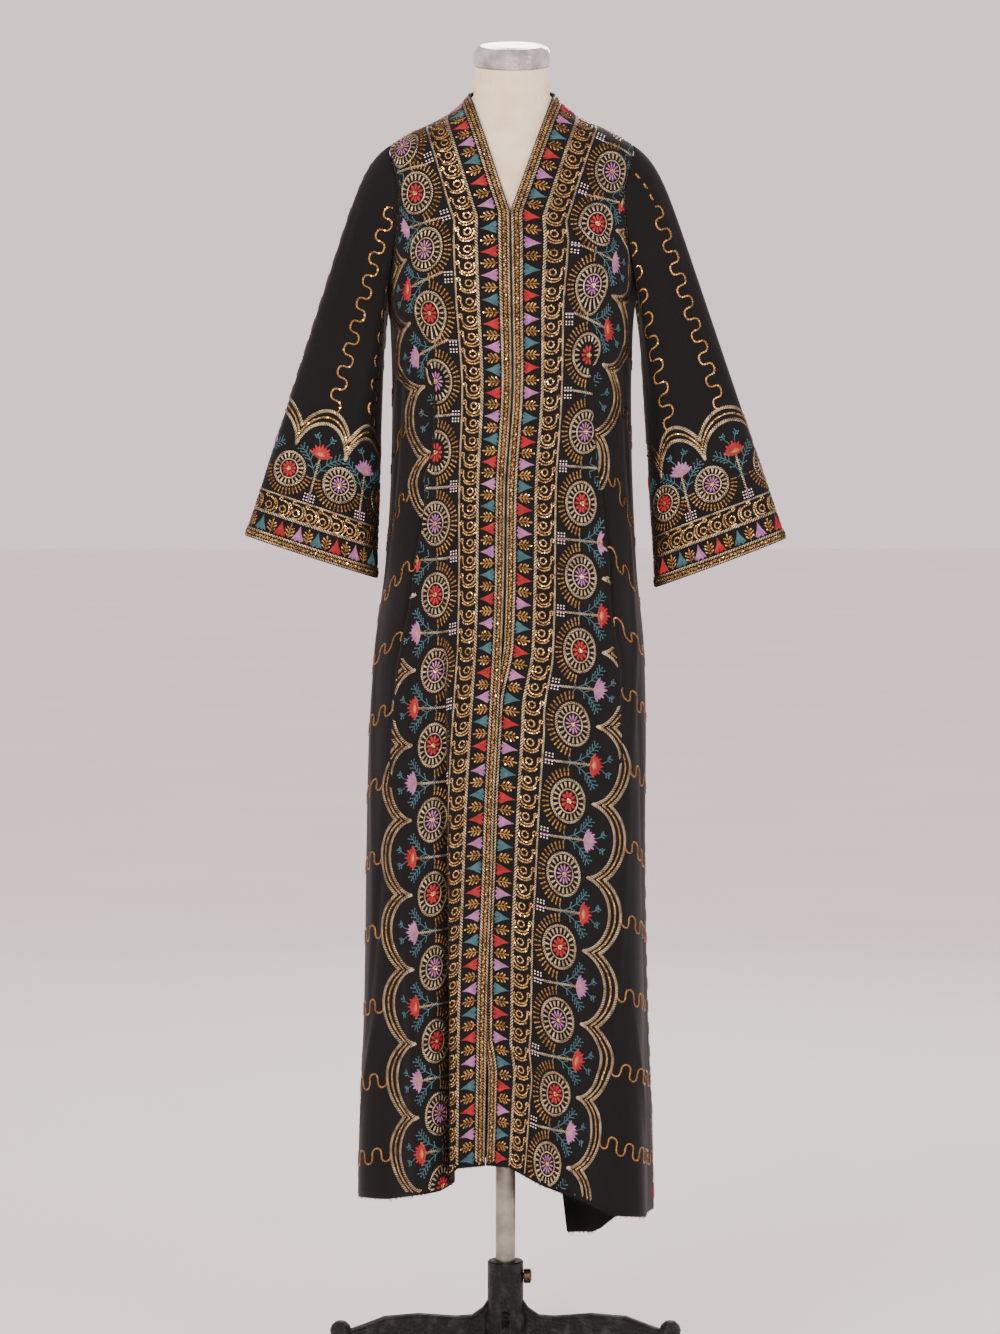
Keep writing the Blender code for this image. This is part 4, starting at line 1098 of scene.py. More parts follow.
def band_round(surface, edge, inwards, turns, across, arch):
    """Points of a tape that starts at an edge of a surface and runs in from it, at distances across.

    edge is the second parameter at the edge for each turn, inwards the most that it changes. The
    distances are found by adding up short steps.
    """
    b = edge[None] + np.linspace(0.0, 1.0, 60)[:, None] * inwards
    a = turns[None] + 0 * b
    (found,) = resampled(across, run_length(surface.at(a, b)), b)
    return surface.at(a[: len(across)], found, arch[:, None] + 0 * found)


def add_braids(look):
    """The flat tapes of the braid, along the fronts, round the back neck and round the cuffs."""
    held, tape, wall = surfaces(), crepe_finish(look, "tape"), look.tape_wall
    across = np.linspace(0.0, BRAID_WIDTH, TAPE_COLUMNS)
    arch = np.sin(math.pi * across / BRAID_WIDTH) ** 0.5
    arch = BRAID_LIFT + BRAID_THICK * (TAPE_EDGE + (1 - TAPE_EDGE) * arch)
    turns = np.linspace(0.0, 2 * math.pi, CUFF_TAPE_ROWS + 1)[:-1]
    for side, name in SIDES:
        layout = held["front_layout_" + name]
        s, t = np.meshgrid(across, np.linspace(SEAM / 2, hem_t(layout), FRONT_TAPE_ROWS))
        points, _ = layout.place(np.stack([s, t, arch[None] + 0 * s], axis=-1))
        add_shell("front_braid_" + name, "tape", points, tape, wall, side > 0)
        points = band_round(held["sleeve_" + name], 1.0 + 0 * turns, -0.1, turns, across, arch)
        add_shell("cuff_braid_" + name, "tape", points, tape, wall, side > 0, closed=True)
    ends = (math.pi / 2 + NECK_TAPE_INSET, 1.5 * math.pi - NECK_TAPE_INSET)
    turns = np.linspace(*ends, NECK_TAPE_ROWS)
    top = NECK_SIDE + BACK_NECK_RISE * np.cos(turns - math.pi)
    points = band_round(held["round"], top, -0.05, turns, across, arch)
    add_shell("back_neck_braid", "tape", points, tape, wall)


# Embroidery

# Threads: material, look property of the painted highlight tone, painted shade tone, metallic, roughness
THREADS = {
    "silver": ("silver lurex cord", "silver", "#5a4930", 0.95, 0.30),
    "gold": ("gold lurex thread", "gold", "#38260f", 0.95, 0.30),
    "copper": ("copper lurex thread", "copper", "#5c4022", 0.95, 0.32),
    "red": ("red silk thread", "red", "#6e0a11", 0.0, 0.42),
    "lilac": ("lilac silk thread", "lilac", "#774670", 0.0, 0.42),
    "teal": ("teal silk thread", "teal", "#20414a", 0.0, 0.45),
    "beige": ("beige silk thread", "beige", "#7d6036", 0.0, 0.45),
    "bead": ("white glass beads", "pearl", "#d9cdbf", 0.0, 0.15),
}
# Sequins: material, look property of the painted glint tone, painted dark reflection tone
SEQUINS = {
    "gold_sequins": ("gold sequins", "sequin", "#52370f"),
    "copper_sequins": ("copper sequins", "copper", "#7a4f26"),
}
# Share of the broad patches of painted light and shade in a thread's tone
LIT_PATCH_SHARE = 0.35
# A hexagon's corners, and how far along a leaf its points lie
HEXAGON = np.radians(np.arange(0, 360, 60))
LEAF_POINTS = (0.0, 0.35, 0.7, 1.0)
# Satin stitches: widths from root to tip, height, and the height of the foot if any
STITCHED = {
    "zigzag": (0.0012, 0.0007, TAPE_TOP),
    "sprig stem": (0.0012, 0.0006),
    "sprig leaf": ((0.0006, 0.0020, 0.0022, 0.0007), 0.0008),
    "scroll": (0.0018, 0.0006),
    "inner ring": (0.0017, 0.0008),
    "spoke": ((0.0012, 0.0022, 0.0030), 0.0010),
    "red petal": ((0.0012, 0.0030, 0.0040, 0.0012), 0.0010),
    "lilac petal": ((0.0008, 0.0018, 0.0024, 0.0008), 0.0010),
    "bar": (0.0019, 0.0008),
    "flower petal": ((0.0020, 0.0040, 0.0044, 0.0012), 0.0013),
    "flower heart": ((0.0006, 0.0009, 0.0005), 0.0004, 0.0011),
    "spray stem": (0.0011, 0.0006),
    "spray leaf": ((0.0006, 0.0013, 0.0011, 0.0005), 0.0007),
    "foot": (0.0014, 0.0007),
    "scallop": (0.0024, 0.0008),
    "winding": (0.0021, 0.0009),
    "scallop point": ((0.0010, 0.0046, 0.0060), 0.0011),
    "dash": (0.0026, 0.0009),
}
# Silver cords: width, height, pitch of the twist, and the height of the foot if any
CORDS = {
    "braid inner": (0.0029, 0.0011, 0.0038, TAPE_TOP * 0.75),
    "braid outer": (0.0036, 0.0011, 0.0038, TAPE_TOP * 0.75),
    "border": (0.0036, 0.0012, 0.0040),
    "thin": (0.0023, 0.0009, 0.0030),
    "rim": (0.0031, 0.0012, 0.0032),
    "stem": (0.0030, 0.0012, 0.0034),
    "scallop": (0.0042, 0.0013, 0.0034),
}
# Sequins: radius, the height at which they lie, and their pitch in a row
DISCS = {
    "braid": (0.0009, TAPE_TOP + 0.0006),
    "sprig": (0.0009, 0.0009),
    "heart": (0.0010, 0.0016),
    "scroll": (0.0009, 0.0005, 0.0030),
    "scallop": (0.0010, 0.0007, 0.0030),
    "winding": (0.0011, 0.0009, 0.0034),
    "dash": (0.0011, 0.0009, 0.0026),
}
# Knots and beads: radius and height
KNOTS = {"heart": (0.0032, 0.0016), "berry": (0.0012, 0.0012), "bead": (0.0010, 0.0013)}
# Most that a sequin leans, as a slope
SEQUIN_TILT = 0.15
# Points of a long line for each medallion
LINE_STEPS = 40

# Measures of the motifs in metres, degrees or shares of a size, as read off the photo
# The braid: its cords and their distance from the edge, the zigzag between them, and its sequins' shift
BRAID_CORDS = (("braid inner", 0.0025), ("braid outer", 0.0114))
ZIGZAG_AT = 0.0067
ZIGZAG_PITCH = 0.0018
ZIGZAG_SWING = 0.0019
DISC_SHIFT = 0.0009
# Triangles and the sprigs between them, with the place and length of a sprig's leaves
TRIANGLE_STITCHES = 9
TRIANGLE_RAGGED = 0.0022
TRIANGLE_SHOULDER = 0.0088
TRIANGLE_NARROWS = 0.36
SPRIG_PAIRS = ((0.12, 0.0068), (0.34, 0.0078), (0.56, 0.0062))
SPRIG_SPREAD = 52
# Arcs of the scroll: radius and angle at the start and end, points, and middle
SCROLL_ARCS = (
    (0.0041, 0.0041, 0, 360, 13, (0.0, 0.0)),
    (0.0110, 0.0072, -22, 200, 16, (0.0, 0.0)),
    (0.0124, 0.0124, 38, 128, 9, (0.0, 0.0)),
    (0.0021, 0.0021, -200, 70, 8, (0.0122, -0.0050)),
)
# Medallions, in shares of the oval
RIM = 0.94
INNER_RING = 0.53
SPOKE = (0.60, 0.845)
PETAL = (0.14, 0.44)
BAR_ROWS = ((1.11, 1.27), (1.31, 1.47))
DROP_POINT = 0.36
HEART_RING = 0.0024
# Flowers: half the cup's angle, its petals, its heart, then the sprays: root, end, how far
# each side's bends, where its leaves are and how long
CUP_HALF = 66
CUP_PETALS = 9
CUP_PETAL_LONG = 0.0180
CUP_HEART = (0.003, 0.0085)
SPRAYS = (
    ((0.101, 0.0), (0.134, 0.0285), (0.004, -0.004), (2, 4, 5, 6, 7), 0.0066),
    ((0.142, 0.004), (0.1540, 0.0110), (0.001, 0.001), (5, 7), 0.0036),
)
BACK_LEAF = ((0.1005, 0.0), (0.0965, 0.0062))
BEAD_ROWS = (0.0008, 0.0048, 0.0088)
BEAD_PLACES = (-0.0064, -0.0028, 0.0028, 0.0064)
# Winding lines and the dashes beyond them
WAVE = 0.030
WAVE_ROUNDS = 0.085
WAVE_STEPS = 16
RUN_PITCH = 0.003
DASH_FROM = 0.010
DASH_APART = 0.016
DASH_LONG = 0.007
# Rings of a loose thread end: how far down it, and radius
FRAY_RINGS = ((-0.4, 0.00028), (0.55, 0.00024), (1.0, 0.00008))


def thread_finish(look, thread):
    """The material of a thread or of sequins."""
    if thread in SEQUINS:
        name, light, dark = SEQUINS[thread]
        return finish_named(thread, name, paint_sequin, getattr(look, light), dark)
    name, light, *rest = THREADS[thread]
    return finish_named(thread, name, paint_thread, getattr(look, light), *rest)


class Stitches:
    """Stitches laid on one panel: each kind adds shapes in (s, t, height), sorted by thread."""

    def __init__(self, layout, inside, seed):
        self.layout, self.inside = layout, inside
        self.rng = np.random.default_rng(seed)
        self.held = {}

    def stretch(self, spots):
        """Real distance along for each unit of t."""
        return np.maximum(self.layout.flat.read(self.layout.stretch, spots[..., 0], spots[..., 1]), 0.3)

    def add(self, thread, spots, faces):
        """Shapes of equal build: spots (shape, vertex, 3) and the triangles of one shape.

        A shape is dropped where any of its vertices leaves the panel or lies folded away in the tuck.
        """
        if not len(spots):
            return
        points, params = self.layout.place(spots)
        kept = (self.inside(params, spots) & self.layout.shown(spots)).all(axis=1)
        if kept.any():
            self.held.setdefault(thread, []).append((points[kept], faces))

    def frame_at(self, paths):
        """Unit directions along and across each path, as steps in (s, t) for a metre on the cloth."""
        g = self.stretch(paths)
        along = np.gradient(paths, axis=-2)
        real = unit(np.stack([along[..., 0], along[..., 1] * g], axis=-1))
        step = np.stack([real[..., 0], real[..., 1] / g], axis=-1)
        return step, np.stack([-real[..., 1], real[..., 0] / g], axis=-1)

    def strokes(self, thread, paths, width, height, base=0.0):
        """Ridges of thread along paths (stroke, point, 2): low at both sides, full height in the middle."""
        count = paths.shape[1]
        width = np.broadcast_to(np.asarray(width, float), paths.shape[:2])
        _, across = self.frame_at(paths)
        thin = np.minimum(1.0, width / (width.max() * 0.5))
        rows = []
        for sign, rise in ((-0.5, 0.0), (0.0, 1.0), (0.5, 0.0)):
            shift = paths + across * (sign * width)[..., None]
            rows.append(np.concatenate([shift, (base + height * thin * rise)[..., None]], axis=-1))
        quads = grid_faces(count, 3)
        faces = np.concatenate([quads[:, [0, 1, 2]], quads[:, [0, 2, 3]]])
        self.add(thread, np.stack(rows, axis=2).reshape(len(paths), count * 3, 3), faces)

    def run(self, thread, path, width, height):
        """A long stroke cut into short ones that follow each other along a path."""
        path = self.evenly(path, RUN_PITCH)
        if len(path) > 3:
            pieces = np.stack([path[i : len(path) - 3 + i] for i in range(4)], axis=1)[::3]
            self.strokes(thread, pieces, width, height)

    def evenly(self, path, pitch):
        """A path read again at even real steps."""
        g = self.stretch(path)
        gap = np.diff(path, axis=0)
        real = np.hypot(gap[:, 0], gap[:, 1] * (g[1:] + g[:-1]) / 2)
        length = np.concatenate([[0.0], np.cumsum(real)])
        if length[-1] < pitch:
            return path[:1]
        want = np.linspace(0.0, length[-1], int(round(length[-1] / pitch)) + 1)
        return np.stack([np.interp(want, length, path[:, i]) for i in (0, 1)], axis=1)

    def rope(self, thread, path, width, height, pitch, base=0.0):
        """A twisted cord: a row of slanted ridges, one for each turn of the yarn, with gaps between."""
        spots = self.evenly(path, pitch)
        if len(spots) < 3:
            return
        step, across = self.frame_at(spots)
        far, near, wide = step * (pitch * 0.80), step * (pitch * 0.20), across * (width / 2)
        corners = (spots - far - wide, spots - near - wide, spots + far + wide, spots + near + wide, spots)
        levels = (base, base, base, base, base + height)
        rows = [
            np.concatenate([corner, np.full((len(spots), 1), level)], axis=1)
            for corner, level in zip(corners, levels)
        ]
        self.add(thread, np.stack(rows, axis=1), np.array([(0, 1, 4), (1, 2, 4), (2, 3, 4), (3, 0, 4)]))

    def sequins(self, thread, spots, radius, base):
        """Six-sided discs, each at its own tilt, just over the cloth."""
        spots = np.asarray(spots, float).reshape(-1, 2)
        g = self.stretch(spots)
        turn = HEXAGON[None] + self.rng.uniform(0, 1, (len(spots), 1))
        lean_s = self.rng.uniform(-SEQUIN_TILT, SEQUIN_TILT, (len(spots), 1))
        lean_t = self.rng.uniform(-SEQUIN_TILT, SEQUIN_TILT, (len(spots), 1))
        out, along = radius * np.cos(turn), radius * np.sin(turn)
        level = base + lean_s * out + lean_t * along + radius * (np.abs(lean_s) + np.abs(lean_t))
        disc = np.stack([spots[:, :1] + out, spots[:, 1:] + along / g[:, None], level], axis=-1)
        self.add(thread, disc, np.array([(0, 1, 2), (0, 2, 3), (0, 3, 4), (0, 4, 5)]))

    def sequin_row(self, thread, path, radius, base, pitch):
        """Sequins sewn along a path."""
        self.sequins(thread, self.evenly(path, pitch), radius, base)

    def domes(self, thread, spots, radius, height):
        """Small round knots or beads: a ring of six and a top."""
        spots = np.asarray(spots, float).reshape(-1, 2)
        g = self.stretch(spots)
        out, along = spots[:, :1] + radius * np.cos(HEXAGON), radius * np.sin(HEXAGON) / g[:, None]
        ring = np.stack([out, spots[:, 1:] + along, np.full(out.shape, height * 0.2)], axis=-1)
        top = np.concatenate([spots, np.full((len(spots), 1), height)], axis=1)[:, None]
        faces = np.array([(k, (k + 1) % 6, 6) for k in range(6)])
        self.add(thread, np.concatenate([ring, top], axis=1), faces)

    def build(self, panel, look, flip):
        """One object for each thread, named after its panel."""
        for thread, shapes in self.held.items():
            points, faces, start = [], [], 0
            for part, triangles in shapes:
                number, corners = part.shape[:2]
                first = start + corners * np.arange(number)[:, None, None]
                points.append(part.reshape(-1, 3))
                faces.append((first + triangles[None]).reshape(-1, 3))
                start += number * corners
            faces = np.concatenate(faces)
            shown = faces[:, ::-1] if flip else faces
            finish = thread_finish(look, thread)
            add_mesh(panel + "_" + thread, np.concatenate(points), shown, finish)


class Pattern:
    """The border's design on one layout: k counts its medallions and k + 0.5 are the flowers.

    A motif is a list of strokes (stroke, point, 2), out and along in metres. One that drifts leans with the
    outer bands. first_flower names the colour of the flowers that follow an even medallion.
    """

    def __init__(self, stitches, ks, ts, scale=1.0, slopes=((0.0, 0.0), (1.0, 0.0)), first_flower="red"):
        self.st, self.scale = stitches, scale
        self.ks, self.ts, self.slopes = (np.asarray(values, float) for values in (ks, ts, slopes))
        self.flowers = ("red", "lilac") if first_flower == "red" else ("lilac", "red")

    def t(self, k):
        """Distance along the edge at k; it goes on evenly past the table's ends."""
        first, last = np.diff(self.ts)[0], np.diff(self.ts)[-1]
        inside = np.interp(k, self.ks, self.ts)
        return inside + np.minimum(k - self.ks[0], 0) * first + np.maximum(k - self.ks[-1], 0) * last

    def counts(self, each, shift=0.0):
        """Every k in the table's range at so many to a medallion."""
        low, high = math.ceil((self.ks[0] - shift) * each), math.floor((self.ks[-1] - shift) * each)
        return np.arange(low, high + 1) / each + shift

    def drift(self, s, t):
        """How far the outer bands are drawn along the edge: their slope times the way from the discs."""
        return np.interp(t, *self.slopes.T) * (np.maximum(s, STEM_FROM) - MEDALLION_AT)

    def stamp(self, strokes, k, at=0.0, drifts=False):
        """A motif laid at (at, t(k)) for every k."""
        strokes, k = np.asarray(strokes, float), np.atleast_1d(np.asarray(k, float))
        out = strokes[None, ..., 0] + 0 * k[:, None, None]
        along = strokes[None, ..., 1] + 0 * out
        t = self.t(k)[:, None, None] + 0 * out
        if drifts:
            along = along + self.drift(at + out, t)
        return self.st.layout.near(at, t, out, along).reshape(-1, strokes.shape[1], 2)

    def spots(self, spots, k, at=0.0, drifts=False):
        """Single spots laid at every k."""
        return self.stamp([[spot] for spot in spots], k, at, drifts)[:, 0]

    def sew(self, thread, kind, strokes, k, at=0.0, drifts=False):
        """A motif sewn at every k, with the widths and height that its kind has in STITCHED."""
        self.st.strokes(thread, self.stamp(strokes, k, at, drifts), *STITCHED[kind])

    def cord(self, kind, path):
        """A silver cord of a kind in CORDS."""
        self.st.rope("silver", path, *CORDS[kind])

    def line(self, s, k, drifts=False):
        """A path from distances and ks."""
        t = self.t(k)
        s = np.broadcast_to(s, k.shape)
        if drifts:
            return self.st.layout.near(0.0, t, s, self.drift(s, t))
        return np.stack([s, t], axis=-1)

    def whole(self):
        """All ks, finely divided."""
        return np.linspace(self.ks[0], self.ks[-1], int((self.ks[-1] - self.ks[0]) * LINE_STEPS) + 1)


def ray(start, end, at=(0.0, 0.5, 1.0)):
    """Points on the line between two points."""
    start, end = np.asarray(start, float), np.asarray(end, float)
    return start + (end - start) * np.asarray(at)[:, None]


def polar(radius, degrees):
    """Point at a radius and angle; 0 degrees is straight out from the edge."""
    return np.stack([radius * np.cos(np.radians(degrees)), radius * np.sin(np.radians(degrees))], axis=-1)


def turned(way, degrees):
    """A direction turned by an angle."""
    turn = math.radians(degrees)
    c, s = math.cos(turn), math.sin(turn)
    return np.array([way[0] * c - way[1] * s, way[0] * s + way[1] * c])


def oval(share, degrees, scale):
    """Point of a medallion's oval at a share of its size and an angle; 0 degrees is straight out."""
    return polar(1.0, degrees) * (share * MEDALLION_WIDE, share * MEDALLION_RADIUS * scale)


def draw_braid(design):
    """The braid: two twisted silver cords, between them a zigzag of dull gold thread with a few sequins."""
    for kind, s in BRAID_CORDS:
        design.cord(kind, design.line(s, design.whole()))
    middle = design.st.evenly(design.line(ZIGZAG_AT, design.whole()), ZIGZAG_PITCH)
    swing = np.where(np.arange(len(middle)) % 2, ZIGZAG_SWING, -ZIGZAG_SWING)
    corners = middle + np.stack([swing, 0 * swing], axis=1)
    design.st.strokes("gold", np.stack([corners[:-1], corners[1:]], axis=1), *STITCHED["zigzag"])
    for first, shift in ((2, DISC_SHIFT), (5, -DISC_SHIFT)):
        design.st.sequins("gold_sequins", middle[first::6] + (shift, 0.0), *DISCS["braid"])


def draw_triangles(design):
    """Pointed triangles of radiating silk stitches with a ragged foot, and gold sprigs between them.

    Going down the edge the triangles are red, lilac and teal. Each stitch runs from near the tip to its
    own place on the foot, so lengths differ. A sprig has a stem, three pairs of leaves and a tip leaf.
    """
    for number, thread in enumerate(("red", "lilac", "teal")):
        k = design.counts(1, number / 3 + 1 / 6)
        for place in np.linspace(-1.0, 1.0, TRIANGLE_STITCHES):
            aside = abs(place)
            foot = TRIANGLE_FOOT - 0.0004 + TRIANGLE_RAGGED * (1 + math.sin(7.3 * place + number)) / 2
            narrow = TRIANGLE_HALF * TRIANGLE_NARROWS * place * aside**0.3
            tip = TRIANGLE_TIP - TRIANGLE_SHOULDER * aside**1.3
            stitch = ray((foot, TRIANGLE_HALF * place), (tip, narrow))
            height = 0.0008 + 0.0003 * math.cos(9 * place)
            design.st.strokes(thread, design.stamp([stitch], k), (0.0014, 0.0015, 0.0005), height)
    k = design.counts(3)
    root, long = TRIANGLE_FOOT + 0.0004, TRIANGLE_TIP - TRIANGLE_FOOT
    design.sew("gold", "sprig stem", [ray((root, 0), (root + long * 0.70, 0))], k)
    leaves, glints = [], []
    for share, reach in SPRIG_PAIRS:
        for sign in (-1, 1):
            start = np.array([root + long * share, sign * 0.0006])
            way = reach * turned((1.0, 0.0), sign * SPRIG_SPREAD)
            leaves.append(ray(start, start + way, (0.0, 0.3, 0.7, 1.0)))
            glints.append(start + 0.75 * way)
    leaves.append(ray((root + long * 0.66, 0), (root + long * 0.98, 0), (0.0, 0.3, 0.7, 1.0)))
    glints.append((root + long * 0.90, 0.0))
    design.sew("gold", "sprig leaf", leaves, k)
    design.st.sequins("gold_sequins", design.spots(glints, k), *DISCS["sprig"])


def draw_scroll(design):
    """The scroll band between its cords: small rings of sequins, each with a double arc below it.

    The inner arc is a spiral that opens as it goes round the ring and ends in a small loop.
    """
    design.cord("border", design.line(CORD_AT, design.whole()))
    design.cord("thin", design.line(THIN_CORD_AT, design.whole()))
    for first, last, low, high, count, middle in SCROLL_ARCS:
        arc = polar(np.linspace(first, last, count), np.linspace(low, high, count)) + middle
        paths = design.stamp([arc + SCROLL_SHIFT], design.counts(SCROLLS, 0.5 / SCROLLS), SCROLL_AT)
        design.st.strokes("gold", paths, *STITCHED["scroll"])
        for path in paths:
            design.st.sequin_row("gold_sequins", path, *DISCS["scroll"])


def draw_medallions(design, ks, drops=()):
    """Oval medallions: silver rim, tapered silver spokes, a thin ring, coloured petals and a gold heart.

    Some, the drops, are drawn out to a point down the edge. Double rows of gold bars ray out round the
    inner side, from stem to stem. Sizes are shares of the oval's.
    """

    def outwards(low, high, degrees, at=(0.0, 0.5, 1.0)):
        """A line out from the oval's middle, between two shares of its size."""
        return ray(oval(low, degrees, design.scale), oval(high, degrees, design.scale), at)

    around = np.linspace(0, 360, 49)
    for k in ks:
        peak = DROP_POINT * (k in drops) * np.maximum(np.cos(np.radians(around - 90)), 0) ** 6
        rim = oval(RIM, around, design.scale) * (1.0 + peak)[:, None]
        design.cord("rim", design.stamp([rim], k, MEDALLION_AT)[0])
        design.sew("silver", "inner ring", [oval(INNER_RING, around[::2], design.scale)], k, MEDALLION_AT)
        for angle in np.arange(0, 360, 18):
            far = SPOKE[1] * float(np.interp(angle, around, 1.0 + peak))
            design.sew("silver", "spoke", [outwards(SPOKE[0], far, angle)], k, MEDALLION_AT)
        thread, apart = ("red", 36) if int(k) % 2 else ("lilac", 30)
        petals = [outwards(*PETAL, angle, LEAF_POINTS) for angle in np.arange(0, 360, apart)]
        design.sew(thread, thread + " petal", petals, k, MEDALLION_AT)
        design.st.domes("beige", design.spots([(0.0, 0.0)], k, MEDALLION_AT), *KNOTS["heart"])
        heart = np.concatenate([[[0.0, 0.0]], polar(HEART_RING, np.arange(0, 360, 60))])
        design.st.sequins("gold_sequins", design.stamp([heart], k, MEDALLION_AT)[0], *DISCS["heart"])
    bars = [outwards(*row, 180 - angle) for angle in np.linspace(-84, 84, 19) for row in BAR_ROWS]
    bars = [bar for bar in bars if MEDALLION_AT + bar[:, 0].min() > THIN_CORD_AT + 0.0010]
    design.sew("gold", "bar", bars, ks, MEDALLION_AT)


def spray(root, end, bend, places, leaf):
    """A bent stem with leaves in pairs: its points, the leaves' points and the tips for berries."""
    x = np.linspace(0, 1, 9)
    way = unit(np.asarray(end, float) - root)
    stem = ray(root, end, x) + np.outer(bend * np.sin(math.pi * x), turned(way, 90))
    leaves, tips = [], [stem[-1]]
    for place in places:
        heading = unit(stem[place] - stem[place - 1])
        for sign in (-1, 1):
            along = turned(heading, sign * 48)
            leaves.append(ray(stem[place], stem[place] + leaf * along, LEAF_POINTS))
            tips.append(stem[place] + (leaf + 0.0006) * along)
    return stem, leaves, tips


def draw_flowers(design, ks):
    """Flowers on twisted stems, with a teal spray at each side, twigs beyond the head, beads at the foot.

    The head is a cup of nine satin petals round a pale heart. A spray leaves the stem half way up.
    """
    for k in ks:
        stem = ray((STEM_FROM, 0), (FLOWER_AT, 0), np.linspace(0, 1, 12))
        design.cord("stem", design.stamp([stem], k, drifts=True)[0])
        petals, hearts = [], []
        for angle in np.linspace(-CUP_HALF, CUP_HALF, CUP_PETALS):
            uneven = 0.0010 * math.cos(math.radians(angle * 11)) - 0.0020 * abs(angle) / CUP_HALF
            petal = ray((0.0, 0.0), polar(CUP_PETAL_LONG + uneven, angle), (0.0, 0.35, 0.75, 1.0))
            petals.append(petal + (FLOWER_AT, 0.0))
            hearts.append(ray((CUP_HEART[0], 0.0), polar(CUP_HEART[1], angle * 0.8)) + (FLOWER_AT, 0.0))
        design.sew(design.flowers[int(math.floor(k)) % 2], "flower petal", petals, k, drifts=True)
        design.sew("beige", "flower heart", hearts, k, drifts=True)
        stems, leaves, berries = [], [], []
        for sign in (-1, 1):
            sided = np.array([1.0, sign])
            for root, end, bends, places, leaf in SPRAYS:
                stem, some, tips = spray(root * sided, end * sided, bends[sign > 0], places, leaf)
                stems.append(stem)
                leaves += some
                berries += tips
            leaves.append(ray(*(spot * sided for spot in BACK_LEAF), LEAF_POINTS))
        design.sew("teal", "spray stem", stems, k, drifts=True)
        design.sew("teal", "spray leaf", leaves, k, drifts=True)
        design.st.domes("teal", design.spots(berries, k, drifts=True), *KNOTS["berry"])
        beads = [(BEADS_AT + out, away) for out in BEAD_ROWS for away in BEAD_PLACES]
        design.st.domes("bead", design.spots(beads, k), *KNOTS["bead"])
        foot = ray((BEADS_AT - 0.001, 0), (STEM_FROM, 0), np.linspace(0, 1, 4))
        design.sew("lilac", "foot", [foot], k, drifts=True)


def scallop(x, tip, bulge, roundness):
    """A round arc from tip to bulge and back as x goes from -1 to 1; its circle's radius is roundness."""
    low = math.sqrt(roundness**2 - 1)
    return tip + (bulge - tip) * (np.sqrt(roundness**2 - x * x) - low) / (roundness - low)


def draw_scallops(design, ks):
    """Round arcs outside each flower that meet in points over the medallions: silver, gold, silver."""
    x = np.linspace(-1.0, 1.0, 41)
    for k in ks:
        for thread, tip, bulge, roundness in SCALLOP_LINES:
            path = design.line(scallop(x, tip, bulge, roundness), k + x / 2, True)
            if thread == "silver":
                design.cord("scallop", path)
            else:
                design.st.run(thread, path, *STITCHED["scallop"])
                design.st.sequin_row("gold_sequins", path, *DISCS["scallop"])
        point = ray((SCALLOP_TIP - 0.0035, 0), (SCALLOP_TIP + 0.0030, 0))
        design.sew("silver", "scallop point", [point], k + 0.5, drifts=True)


def meander(start, end, swing):
    """A winding line from start to end in s that swings along; its loops are round with upright sides."""
    loops = max(1.0, round(2 * abs(end - start) / WAVE) / 2)
    u = np.linspace(0.0, loops, int(loops * WAVE_STEPS) + 1)
    out = (u - WAVE_ROUNDS * np.sin(4 * math.pi * u)) / loops
    return start + (end - start) * out, swing * np.sin(2 * math.pi * u)


def draw_meander(design, end, k, swing=0.0095, fall=0.0, dashes=0):
    """A winding copper line with sequins out from the scallops, and dashes beyond it; fall slopes it."""
    st, near, t, start = design.st, design.st.layout.near, design.t(k), SCALLOP_OUTER
    s, along = meander(start, end, swing)
    path = near(s, t + 0 * s, 0 * s, along + design.drift(start, t) + fall * (s - start))
    st.run("copper", path, *STITCHED["winding"])
    st.sequin_row("copper_sequins", path, *DISCS["winding"])
    for number in range(dashes):
        s = np.linspace(0.0, DASH_LONG, 4) + end + DASH_FROM + DASH_APART * number
        piece = near(s, t + 0 * s, 0 * s, 0 * s)
        st.strokes("copper", piece[None], *STITCHED["dash"])
        st.sequin_row("copper_sequins", piece, *DISCS["dash"])


def clear_of_edges(params):
    """How far an armhole and its margin reach at a spot's height, and whether the spot clears the hem."""
    angle, z = params[..., 0], params[..., 1]
    hole = np.where(z < SHOULDER_TIP, armhole_sweep(z) + SEAM_MARGIN, 0.0)
    return hole, z > hem_height(angle) + HEM_MARGIN


def on_front(side):
    """A test of which spots lie on a front, or on the back beside the neck, clear of armhole and hem."""

    def inside(params, spots):
        angle, z = params[..., 0] * side, params[..., 1]
        hole, above_hem = clear_of_edges(params)
        before = angle < math.pi / 2 - hole
        behind = (angle > math.pi / 2 + hole) & (spots[..., 1] < BACK_BORDER_TO) & (z > 1.2)
        return (before | behind) & above_hem & (spots[..., 0] < FRONT_REACH - 0.002)

    return inside


def draw_border(design, medallions, flowers, drops=(), braid=True):
    """All the bands of the border, from the braid out to the scallops."""
    if braid:
        draw_braid(design)
    draw_triangles(design)
    draw_scroll(design)
    draw_medallions(design, medallions, drops)
    draw_flowers(design, flowers)
    draw_scallops(design, flowers)


def add_front_embroidery(look):
    """The borders down the fronts and round the back neck, and the winding lines out to the side seams."""
    for side, name in SIDES:
        st = Stitches(surfaces()["front_layout_" + name], on_front(side), 11 + side)
        ts = column(MEDALLIONS, MEDALLION_COLUMNS, name)
        design = Pattern(st, np.arange(len(ts)) - 3.0, ts, slopes=SLOPES)
        ks, flowers = design.counts(1), design.counts(1, 0.5)
        draw_border(design, ks[1:] if side > 0 else ks, flowers, (2.0,) if side > 0 else (3.0,))
        for k in flowers[flowers > 2]:
            draw_meander(design, 0.390, k, fall=float(np.interp(k, *LINES_FALL)))
        st.build("front_" + name, look, side > 0)


